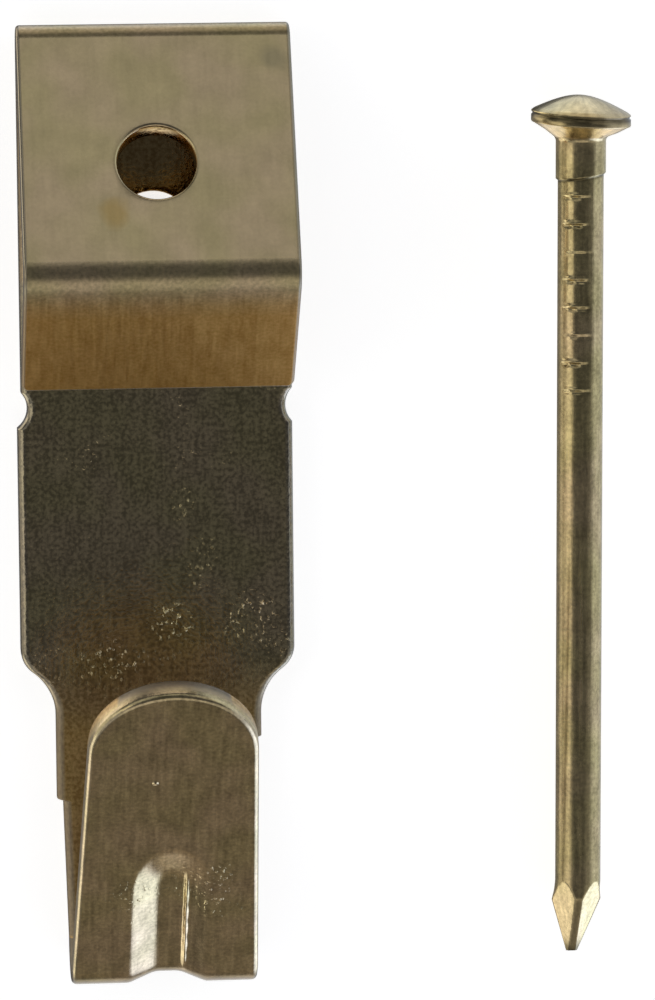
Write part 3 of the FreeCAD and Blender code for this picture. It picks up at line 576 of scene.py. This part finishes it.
def new_piece(name, points, faces, attributes):
    """A smooth, closed mesh object from points in millimetres."""
    mesh = bpy.data.meshes.new(name)
    mesh.from_pydata((np.asarray(points) * MM).tolist(), [], faces)
    for key, values in attributes.items():
        layer = mesh.attributes.new(key, "FLOAT", "POINT")
        layer.data.foreach_set("value", np.asarray(values, np.float32))
    work = bmesh.new()
    work.from_mesh(mesh)
    bmesh.ops.remove_doubles(work, verts=work.verts, dist=MERGE * MM)
    bmesh.ops.dissolve_degenerate(work, edges=work.edges, dist=MERGE * MM)
    unused = [vert for vert in work.verts if not vert.link_faces]
    bmesh.ops.delete(work, geom=unused, context="VERTS")
    bmesh.ops.recalc_face_normals(work, faces=work.faces)
    for face in work.faces:
        face.smooth = True
    work.to_mesh(mesh)
    work.free()
    piece = bpy.data.objects.new(name, mesh)
    bpy.context.scene.collection.objects.link(piece)
    return piece


# The nail's mesh: points around it, spacing along its point, shank, grip marks, collar end and neck, where
# these stretches end, and the rings of its head
NAIL_SIDES = 96
POINT_CELL = 0.04
SHANK_CELL = 1.5
GRIP_CELL = 0.045
COLLAR_CELL = 0.03
NECK_CELL = 0.3
POINT_END = 2.6
GRIP_MARGIN = 0.5
BELOW_COLLAR_END = 0.2
ABOVE_COLLAR_END = 0.3
BELOW_NECK = 0.12
CONE_RINGS = 5
RIM_RINGS = 4
DOME_RINGS = 16
DOME_EYE = 0.03
# The grip marks' form: how wide, how even and how ragged each one is, and the burr pushed up beside it
GRIP_HALF_ANGLE = math.radians(40)
GRIP_FLAT = 1.6
GRIP_SPREAD = 0.055
GRIP_SHIFT = math.radians(20)
GRIP_STRAY = 0.3
GRIP_UNEVEN = 2.3
GRIP_VARIED = 0.5
GRIP_LIP = 0.6
GRIP_TEETH = 11
GRIP_RAGGED = 0.5
BURR_HEIGHT = 0.035
BURR_SHIFT = math.radians(8)
BURR_ANGLE = math.radians(10)
# The leaning head, the shifted tip and the collar's slanting end
HEAD_LEAN = math.tan(math.radians(3.5))
LEAN_RUN = 0.2
TIP_SHIFT = -0.2
TIP_SHIFT_END = 2.4
COLLAR_SLANT = 0.1
COLLAR_EDGE = 0.04
# The point's cut ridges, above and below, and the flare of its side ridges where they leave the shank
POINT_RIDGE = 0.24
LEAST_SINE = 0.1
POINT_FLARE = 0.08
FLARE_LEVEL = 1.62
FLARE_REACH = 0.32
FLARE_POWER = 12
# The fillet under the head, and where the rim's lower and upper rounding start and end
NECK_FILLET = 0.06
NECK_STEP = 0.01
NECK_RISE = 0.02
LOWER_RIM = (0.4, math.pi / 2)
UPPER_RIM = (0.2, 1.2)
# Painted shade in the crease where the collar ends and in the head's groove, a painted dark reflection along
# the point's cut ridges, and a darker tip: how far the crease's shade reaches, how dark the darkest places
# get, how far the tip's darkening reaches, and how strong the ridges' painted reflection is
CREASE_SHADE_REACH = 0.06
DARKEST_SHADE = 0.25
TIP_DARKENING = 0.4
RIDGE_SHADE = 0.85


def nail_lie():
    """The nail's own place: the tip of its point and the turn that lays it on the floor."""
    head, shank = HEAD_DIAMETER / 2, NAIL_DIAMETER / 2
    shank_low = (shank * math.cos(math.pi / 4) - TIP_WIDTH / 2) / POINT_SLOPE
    tilt = math.atan((head - shank) / (RIM_LOW - shank_low))
    height = (shank - shank_low * math.tan(tilt)) * math.cos(tilt)
    turn = Matrix.Rotation(-NAIL_TURN, 3, "Z") @ Matrix.Rotation(tilt - math.pi / 2, 3, "X")
    run = turn @ Vector((0, 0, NAIL_LENGTH))
    return turn, Vector((NAIL_OFFSET - run.x / 2, NAIL_TOP - run.y, height))


def collar_end(angle):
    """The height above the tip where the collar ends, which slants around the nail."""
    return NECK - COLLAR_LENGTH + COLLAR_SLANT * np.cos(angle)


def nail_levels():
    """Heights above the tip where the nail's rings lie, up to its neck."""
    grip_end = NAIL_LENGTH - GRIP_START - (GRIP_COUNT - 1) * GRIP_PITCH - GRIP_MARGIN
    collar_low = NECK - COLLAR_LENGTH
    return divided(((POINT_END, POINT_CELL), (grip_end, SHANK_CELL),
                    (collar_low - BELOW_COLLAR_END, GRIP_CELL),
                    (collar_low + ABOVE_COLLAR_END, COLLAR_CELL), (NECK - BELOW_NECK, NECK_CELL)))


def nail_radius(level, angle):
    """The nail's radius at a height above its tip, around its axis; ridges face along the axes."""
    shank = NAIL_DIAMETER / 2
    radius = np.full_like(angle, shank)
    on_collar = np.clip((level - collar_end(angle)) / COLLAR_EDGE, 0, 1)
    radius += (COLLAR_DIAMETER / 2 - shank) * on_collar

    # Grip marks on the upper and the lower side
    for mark in range(GRIP_COUNT):
        centre = NAIL_LENGTH - GRIP_START - mark * GRIP_PITCH
        uneven = math.sin(GRIP_UNEVEN * mark)
        shift = GRIP_SHIFT * (1 + GRIP_STRAY * uneven)
        dent = math.exp(-((level - centre) / GRIP_SPREAD) ** 2)
        lip = math.exp(-((level - centre - 2 * GRIP_SPREAD) / GRIP_SPREAD) ** 2)
        for facing in (math.pi / 2, -math.pi / 2):
            off = (angle - facing - shift + math.pi) % (2 * math.pi) - math.pi
            share = np.clip(GRIP_FLAT - GRIP_FLAT * np.abs(off) / GRIP_HALF_ANGLE, 0, 1)
            share = share * (1 + GRIP_RAGGED * np.sin(GRIP_TEETH * angle + mark))
            burr = BURR_HEIGHT * np.exp(-((off - BURR_SHIFT) / BURR_ANGLE) ** 2)
            radius += (1 + GRIP_VARIED * uneven) * (GRIP_DEPTH * (GRIP_LIP * lip - dent) * share + burr * lip)

    # The diamond point: four planes, two cut ridges, and a flare where the side ridges leave the shank
    turned = angle + math.pi / 4
    half = TIP_WIDTH / 2 + level * POINT_SLOPE
    flat = half / np.maximum(np.abs(np.cos(turned)), np.abs(np.sin(turned)))
    ridge = (half * math.sqrt(2) - POINT_RIDGE / 2) / np.maximum(np.abs(np.sin(angle)), LEAST_SINE)
    fading = math.exp(-((level - FLARE_LEVEL) / FLARE_REACH) ** 2)
    flare = POINT_FLARE * np.abs(np.cos(angle)) ** FLARE_POWER * fading
    return np.minimum(radius + flare, np.minimum(flat, ridge))


def nail_brightness(level, angle, radius):
    """How bright a ring of the nail is: painted shade sits where the collar ends, a painted dark reflection
    lies on the point's cut ridges, and the tip is darker.
    """
    # Painted shade in the collar's crease, and a darker tip
    crease_and_tip = np.exp(-((level - collar_end(angle)) / CREASE_SHADE_REACH) ** 2) + math.exp(-(level / TIP_DARKENING) ** 2)
    ridge_top = ((NAIL_DIAMETER + POINT_RIDGE) / 2 / math.sqrt(2) - TIP_WIDTH / 2) / POINT_SLOPE
    # Painted dark reflection along the point's cut ridges
    ridge = RIDGE_SHADE * np.exp(-(2 * radius * np.cos(angle) / POINT_RIDGE) ** 4)
    ridge = ridge * np.clip((ridge_top - level) / POINT_RIDGE + 0.5, 0, 1)
    return 1 - (1 - DARKEST_SHADE) * np.maximum(crease_and_tip, ridge)


def head_outline():
    """The head as (level, radius) pairs: a fillet, a cone, a rounded rim with a groove, and a dome."""
    head, collar = HEAD_DIAMETER / 2, COLLAR_DIAMETER / 2
    cone, cone_low = collar + NECK_FILLET * 2, NECK + NECK_FILLET
    pairs = [(NECK - NECK_FILLET, collar + NECK_STEP), (NECK + NECK_RISE, collar + NECK_FILLET),
             (cone_low, cone)]
    for share in np.linspace(1 / CONE_RINGS, 1, CONE_RINGS):
        pairs.append((cone_low + (RIM_LOW - cone_low) * share, cone + (head - RIM_ROUND - cone) * share))
    for a in np.linspace(*LOWER_RIM, RIM_RINGS):
        pairs.append((RIM_LOW + RIM_ROUND * (1 - math.cos(a)), head - RIM_ROUND + RIM_ROUND * math.sin(a)))
    for widths, depth in ((-1, 0), (-0.5, GROOVE_DEPTH), (0.5, GROOVE_DEPTH), (1, 0)):
        pairs.append((GROOVE + widths * GROOVE_WIDTH, head - depth))
    for a in np.linspace(*UPPER_RIM, RIM_RINGS):
        pairs.append((RIM_TOP - RIM_ROUND * (1 - math.sin(a)), head - RIM_ROUND + RIM_ROUND * math.cos(a)))
    for reach in np.linspace(head - 2 * RIM_ROUND, DOME_EYE, DOME_RINGS):
        drop = (math.hypot(reach / head, DOME_BLUNT) - DOME_BLUNT) / (math.hypot(1, DOME_BLUNT) - DOME_BLUNT)
        pairs.append((NAIL_LENGTH - DOME_HEIGHT * drop, reach))
    return pairs


def make_nail():
    """The nail, ring by ring from its tip to the top of its dome, laid on the floor beside the hook."""
    angle = np.linspace(0, 2 * math.pi, NAIL_SIDES, endpoint=False)
    # Each ring has its level, its radii and how bright it is
    rings = []
    for level in nail_levels():
        radius = nail_radius(level, angle)
        rings.append((level, radius, nail_brightness(level, angle, radius)))
    for level, radius in head_outline():
        # Painted shade in the groove below the rim's top
        shade = DARKEST_SHADE if abs(level - GROOVE) < GROOVE_WIDTH else 1.0
        rings.append((level, np.full(NAIL_SIDES, radius), np.full(NAIL_SIDES, shade)))

    points, shades, ring_index = [], [], []
    for level, radius, shade in rings:
        across, up = radius * np.cos(angle), radius * np.sin(angle)
        lean = np.clip((level - NECK) / LEAN_RUN, 0, 1)
        shift = TIP_SHIFT * np.clip(1 - level / TIP_SHIFT_END, 0, 1)
        ring_index.append(np.arange(NAIL_SIDES) + len(points))
        shades.extend(shade)
        points.extend(np.column_stack((across + shift, -up, level - lean * HEAD_LEAN * across)))
    faces = []
    for low, high in zip(ring_index, ring_index[1:]):
        for side in range(NAIL_SIDES):
            after = (side + 1) % NAIL_SIDES
            faces.append((int(low[side]), int(low[after]), int(high[after]), int(high[side])))
    for end in (ring_index[0], ring_index[-1]):
        faces.append(tuple(int(i) for i in end))
    turn, tip = nail_lie()
    points = np.array(points)
    placed = points @ np.array(turn).T + np.array(tip)
    around = np.arctan2(points[:, 1], points[:, 0]) * NAIL_DIAMETER / 2
    flat = {"across": around, "along": points[:, 2], "brushed": np.ones(len(points)), "shade": shades}
    return new_piece("nail_wire", placed, faces, flat)


class Nodes:
    """A short way to add and link shader nodes."""

    def __init__(self, tree):
        self.tree = tree
        self.tree.nodes.clear()

    def add(self, kind, settings=None, **inputs):
        node = self.tree.nodes.new(kind)
        for key, value in (settings or {}).items():
            setattr(node, key, value)
        for key, value in inputs.items():
            self.set(node, key.replace("_", " "), value)
        return node

    def set(self, node, socket, value):
        socket = node.inputs[int(socket) if socket.strip().isdigit() else socket]
        if isinstance(value, bpy.types.NodeSocket):
            self.tree.links.new(value, socket)
        else:
            socket.default_value = value

    def math(self, operation, first, second=0.0):
        node = self.add("ShaderNodeMath", {"operation": operation})
        self.set(node, "0", first)
        self.set(node, "1", second)
        return node.outputs[0]


STRIP_DARK = (0.44, 0.355, 0.2)
STRIP_LIGHT = (0.9, 0.725, 0.41)
STRIP_ROUGHNESS = 0.2
WIRE_DARK = (0.46, 0.365, 0.19)
WIRE_LIGHT = (0.92, 0.735, 0.39)
WIRE_ROUGHNESS = 0.24
# The plating is painted a deeper amber where brass faces brass (the return, the tail and behind the front
# plate), standing in for light reflected between the plates; it is pale where it is worn, and shimmers
# between green and pink
REFLECTED_AMBER_DARK = (0.63, 0.34, 0.077)
REFLECTED_AMBER_LIGHT = (0.83, 0.525, 0.167)
BARE_METAL = (0.85, 0.8, 0.7)
GREEN_TINT = (0.975, 1.0, 0.94)
PINK_TINT = (1.025, 1.0, 1.06)
# Stains on the outer face: place across and along the strip, reach and colour
STAINS = ((-1.35, PATH.nose_end + 1.6, 0.6, (0.62, 0.42, 0.14)),
          (3.9, PATH.fold_start - 0.8, 0.5, (0.42, 0.36, 0.22)))
# Scratched places: place across and along, reach, whether on the inner face, and depth
SCRATCHES = ((0.45, PATH.on_wall(-12.8), 0.8, True, 4.0), (3.0, PATH.on_wall(-12.8), 0.9, True, 4.0),
             (1.3, PATH.on_wall(-11.5), 0.3, True, 4.0), (3.6, PATH.on_wall(-12.3), 0.3, True, 4.0),
             (1.2, PATH.tip - 9.0, 1.6, False, 1.3), (-1.2, PATH.tip - 9.5, 1.2, False, 1.0))
# A nick on the tongue: place across and along, and reach
NICK = (-0.55, PATH.tip - 3.95, 0.1)

# The plating's patterns: scale of the noise across and along the metal, and its detail
BLOTCH = (0.9, 0.9, 3.0)
STREAK = (7.0, 0.5, 3.0)
PATCH = (2.6, 1.3, 3.0)
SPECK = (8.0, 8.0, 4.0)
SHIMMER = (0.45, 0.45, 1.0)
WEAR = (0.4, 0.4, 1.0)
FLECK = (7.0, 5.0, 2.0)
# The part of the noise's range that is used, and how far apart the strip's two faces lie in it
NOISE_RANGE = (0.3, 0.7)
FACES_APART = 7.0
# How strongly the patterns, the painted amber reflection and the stains show in the colour
BLOTCH_TONES = (0.38, 0.62)
STREAK_TONE = 0.2
PATCH_TONE = 0.25
INNER_GRAIN = 0.75
OUTER_GRAIN = 0.3
SHIMMER_RANGE = 0.6
REFLECTED_AMBER_COVER = 0.9
STAIN_COVER = 0.6
# The full middle of a stained or scratched place, and its raggedness, as shares of its reach
PLACE_MIDDLE = 0.3
PLACE_RAGGED = 0.3
# How the roughness changes along the streaks and towards the inner face
STREAK_ROUGHNESS = 0.04
INNER_SMOOTHER = 0.07
# Heights of the fine relief, in steps of BUMP_STEP: streaks, specks on both faces, worn spots and the nick
BUMP_STEP = 0.01
STREAK_HEIGHT = 0.08
SPECK_HEIGHTS = (0.04, 0.25)
WEAR_START = 0.3
WEAR_HEIGHT = 1.5
FLECK_START = 0.5
NICK_HEIGHT = 5.0


def plated_metal(name, dark, light, roughness, stains=(), scratches=(), nick=None):
    """Brass plating: blotches, brushing along the metal, fine grain, stains, bright scratched places, and the
    painted amber reflection and painted shade that the mesh carries.
    """
    material = bpy.data.materials.new(name)
    material.use_nodes = True
    nodes = Nodes(material.node_tree)
    out = nodes.add("ShaderNodeOutputMaterial")
    shader = nodes.add("ShaderNodeBsdfPrincipled", Metallic=1.0)
    across, along, inner, bend, reflected_amber, bare, rough, brushed, shade = (
        nodes.add("ShaderNodeAttribute", {"attribute_name": key}).outputs["Fac"]
        for key in ("across", "along", "inner", "bend", "reflected_amber", "bare", "rough", "brushed", "shade"))
    outer = nodes.math("SUBTRACT", 1.0, inner)

    def noise(across_scale, along_scale, detail):
        """Noise from about -1 to 1, with its own scale across and along."""
        place = nodes.add("ShaderNodeCombineXYZ")
        nodes.set(place, "X", scaled(across, across_scale))
        nodes.set(place, "Y", scaled(along, along_scale))
        nodes.set(place, "Z", scaled(inner, FACES_APART))
        texture = nodes.add("ShaderNodeTexNoise", Vector=place.outputs["Vector"], Scale=1.0, Detail=detail)
        return ranged(texture.outputs["Fac"], *NOISE_RANGE, -1.0, 1.0)

    def scaled(value, share):
        return nodes.math("MULTIPLY", value, share)

    def ranged(value, low, high, new_low, new_high):
        node = nodes.add("ShaderNodeMapRange", Value=value, From_Min=low, From_Max=high,
                         To_Min=new_low, To_Max=new_high)
        return node.outputs["Result"]

    def mixed(factor, first, second, blend="MIX"):
        node = nodes.add("ShaderNodeMix", {"data_type": "RGBA", "blend_type": blend}, Factor=factor)
        for socket, value in (("A", first), ("B", second)):
            target = next(i for i in node.inputs if i.name == socket and i.type == "RGBA")
            if isinstance(value, tuple):
                target.default_value = (*value, 1)
            else:
                nodes.tree.links.new(value, target)
        return next(o for o in node.outputs if o.type == "RGBA")

    def near(place_across, place_along, reach):
        """1 at a place on the strip, falling unevenly to 0 at its reach."""
        off_across = nodes.math("SUBTRACT", across, place_across)
        off_along = nodes.math("SUBTRACT", along, place_along)
        squares = nodes.math("ADD", scaled(off_across, off_across), scaled(off_along, off_along))
        distance = nodes.math("ADD", nodes.math("SQRT", squares), scaled(blotch, reach * PLACE_RAGGED))
        return ranged(distance, reach * PLACE_MIDDLE, reach, 1.0, 0.0)

    blotch = noise(*BLOTCH)
    streak = noise(*STREAK)
    patch = noise(*PATCH)
    speck = noise(*SPECK)
    shimmer = ranged(noise(*SHIMMER), -SHIMMER_RANGE, SHIMMER_RANGE, 0.0, 1.0)
    outer_grain = scaled(nodes.math("MAXIMUM", brushed, bend), OUTER_GRAIN)
    grain = nodes.math("MAXIMUM", scaled(inner, INNER_GRAIN), outer_grain)
    brushing = nodes.math("ADD", scaled(streak, STREAK_TONE), scaled(patch, PATCH_TONE))
    tone = nodes.math("ADD", ranged(blotch, -1.0, 1.0, *BLOTCH_TONES), scaled(brushing, brushed))
    tone = nodes.math("ADD", tone, scaled(speck, grain))
    colour = mixed(tone, dark, light)
    colour = mixed(1.0, colour, mixed(shimmer, GREEN_TINT, PINK_TINT), "MULTIPLY")
    # Painted reflection: a deeper amber that stands in for the light that the brass plates reflect onto each
    # other
    colour = mixed(scaled(reflected_amber, REFLECTED_AMBER_COVER), colour, mixed(tone, REFLECTED_AMBER_DARK, REFLECTED_AMBER_LIGHT))
    colour = mixed(bare, colour, BARE_METAL)
    for place_across, place_along, reach, stain in stains:
        stained = scaled(near(place_across, place_along, reach), outer)
        colour = mixed(scaled(stained, STAIN_COVER), colour, stain)
    # The shade attribute multiplies the colour: painted shade on the strip and the nail, and a little
    # darkening of the tail and the nail's tip
    nodes.set(shader, "Base Color", mixed(1.0, colour, shade, "MULTIPLY"))

    uneven = ranged(streak, -1.0, 1.0, roughness - STREAK_ROUGHNESS, roughness + STREAK_ROUGHNESS)
    rough = nodes.math("ADD", rough, uneven)
    nodes.set(shader, "Roughness", nodes.math("SUBTRACT", rough, scaled(inner, INNER_SMOOTHER)))

    scratched = scaled(ranged(noise(*WEAR), WEAR_START, 1.0, 0.0, WEAR_HEIGHT), inner)
    for place_across, place_along, reach, on_inner, depth in scratches:
        place = scaled(near(place_across, place_along, reach), depth)
        scratched = nodes.math("MAXIMUM", scratched, scaled(place, inner if on_inner else outer))
    fleck = scaled(ranged(noise(*FLECK), FLECK_START, 1.0, 0.0, 1.0), scratched)
    height = scaled(scaled(streak, brushed), STREAK_HEIGHT)
    height = nodes.math("ADD", height, scaled(speck, ranged(inner, 0.0, 1.0, *SPECK_HEIGHTS)))
    height = nodes.math("ADD", height, fleck)
    if nick:
        height = nodes.math("ADD", height, scaled(scaled(near(*nick), NICK_HEIGHT), outer))
    bump = nodes.add("ShaderNodeBump", Strength=1.0, Distance=BUMP_STEP * MM, Height=height)
    nodes.set(shader, "Normal", bump.outputs["Normal"])
    nodes.set(out, "Surface", shader.outputs["BSDF"])
    return material


# The light: soft panels all around, each a direction, the half angles of its full and outer reach in degrees,
# colour and strength, with the place that it mostly lights
WHITE = (1.0, 1.0, 1.0)
AMBIENT = (0.07, 0.073, 0.08)
PANELS = (
    ((0.0, 0.766, 0.643), 9, 16, (1.0, 1.0, 1.02), 0.36),  # front plate
    ((0.0, 0.97, -0.24), 14, 30, (1.04, 0.98, 0.9), 0.55),  # top fold and tongue's end
    ((0.0, 0.74, -0.67), 12, 24, (0.9, 1.0, 1.25), 0.85),  # top of the fold
    ((0.0, -0.9, -0.44), 18, 52, (1.15, 0.9, 0.62), 0.135),  # return and tongue
    ((0.0, -0.66, -0.75), 14, 28, (1.0, 0.98, 0.95), 1.0),  # edges that face down
    ((0.0, -0.71, 0.7), 18, 27, (1.05, 1.0, 0.95), 0.37),  # lower half of the nose
    ((0.69, -0.71, -0.14), 18, 29, (0.84, 1.0, 1.45), 1.35),  # dart's left slope and point's right facet
    ((-0.87, 0.0, 0.5), 13, 22, (1.0, 0.95, 0.85), 0.8),  # left of the nail's shank
    ((-0.99, 0.0, -0.14), 18, 34, (1.0, 0.95, 0.85), 0.5),  # far left of the shank and left edges
    ((-0.5, 0.0, -0.87), 15, 30, (1.0, 0.98, 0.95), 0.15),  # left outlines
    ((-0.71, 0.46, -0.53), 16, 30, (1.0, 0.95, 0.85), 1.1),  # left of the tongue's round end
    ((-0.69, -0.6, -0.39), 14, 26, (1.0, 0.97, 0.9), 0.9),  # tongue's left edge
    ((-0.79, -0.6, -0.06), 10, 20, (1.0, 1.0, 0.95), 1.0),  # point's left facet
    ((0.9, 0.1, -0.42), 46, 66, (0.9, 1.0, 1.15), 0.52),  # right of the shank and right edges
    *(((x, y, 0.53), 12, 30, WHITE, 0.3) for y in (0.6, -0.6) for x in (0.6, -0.6)),  # other views
)


def light_world():
    """The panels and a dim ambient light, added up in the world's background."""
    world = bpy.data.worlds.new("studio")
    bpy.context.scene.world = world
    world.use_nodes = True
    nodes = Nodes(world.node_tree)
    out = nodes.add("ShaderNodeOutputWorld")
    direction = nodes.add("ShaderNodeTexCoord").outputs["Generated"]
    total = AMBIENT
    for axis, full, outer, colour, strength in PANELS:
        dot = nodes.add("ShaderNodeVectorMath", {"operation": "DOT_PRODUCT"})
        nodes.set(dot, "0", direction)
        nodes.set(dot, "1", Vector(axis).normalized())
        spread = nodes.math("ARCCOSINE", dot.outputs["Value"])
        ramp = nodes.add("ShaderNodeMapRange", {"interpolation_type": "SMOOTHSTEP"}, Value=spread,
                         From_Min=math.radians(outer), From_Max=math.radians(full),
                         To_Min=0.0, To_Max=strength)
        lit = nodes.add("ShaderNodeVectorMath", {"operation": "SCALE"}, Scale=ramp.outputs["Result"])
        nodes.set(lit, "0", colour)
        joined = nodes.add("ShaderNodeVectorMath", {"operation": "ADD"})
        nodes.set(joined, "0", lit.outputs["Vector"])
        nodes.set(joined, "1", total)
        total = joined.outputs["Vector"]
    background = nodes.add("ShaderNodeBackground", Color=total)
    nodes.set(out, "Surface", background.outputs["Background"])


FLOOR_SIZE = 6000.0
FLOOR_DROP = 0.02
FLOOR_COLOUR = (0.9, 0.9, 0.9)
FLOOR_GLOW = 0.8


def make_floor():
    """A plain white floor with a glow of its own, left out of the metal's reflections."""
    half = FLOOR_SIZE / 2 * MM
    mesh = bpy.data.meshes.new("floor")
    square = ((-half, -half), (half, -half), (half, half), (-half, half))
    corners = [(x, y, -FLOOR_DROP * MM) for x, y in square]
    mesh.from_pydata(corners, [], [(0, 1, 2, 3)])
    floor = bpy.data.objects.new("floor", mesh)
    bpy.context.scene.collection.objects.link(floor)
    material = bpy.data.materials.new("pale_floor")
    material.use_nodes = True
    shader = material.node_tree.nodes["Principled BSDF"]
    shader.inputs["Base Color"].default_value = (*FLOOR_COLOUR, 1)
    shader.inputs["Roughness"].default_value = 1.0
    shader.inputs["Specular IOR Level"].default_value = 0.0
    shader.inputs["Emission Color"].default_value = (*WHITE, 1)
    shader.inputs["Emission Strength"].default_value = FLOOR_GLOW
    mesh.materials.append(material)
    floor.visible_glossy = False


def make_camera():
    """The photograph's view, with its focal length and turn."""
    data = bpy.data.cameras.new("camera")
    data.sensor_fit = "VERTICAL"
    data.sensor_height = SENSOR_HEIGHT
    data.lens = FOCAL_PIXELS / IMAGE_HEIGHT * SENSOR_HEIGHT
    data.clip_start = CLIP_START * MM
    camera = bpy.data.objects.new("camera", data)
    turn_x, turn_y, turn_z = CAMERA_TURN
    turn = Matrix.Rotation(turn_y, 4, "Y") @ Matrix.Rotation(turn_x, 4, "X") @ Matrix.Rotation(turn_z, 4, "Z")
    camera.matrix_world = Matrix.Translation(Vector(CAMERA_PLACE) * MM) @ turn
    bpy.context.scene.collection.objects.link(camera)
    bpy.context.scene.camera = camera


make_camera()
light_world()
make_floor()
bpy.context.scene.view_settings.view_transform = "Standard"

hook = make_hook()
hook.data.materials.append(plated_metal("plated_strip", STRIP_DARK, STRIP_LIGHT, STRIP_ROUGHNESS,
                                        STAINS, SCRATCHES, NICK))
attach(hook, "root")
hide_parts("hook")

nail = make_nail()
nail.data.materials.append(plated_metal("plated_wire", WIRE_DARK, WIRE_LIGHT, WIRE_ROUGHNESS))
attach(nail, "root")
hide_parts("nail")
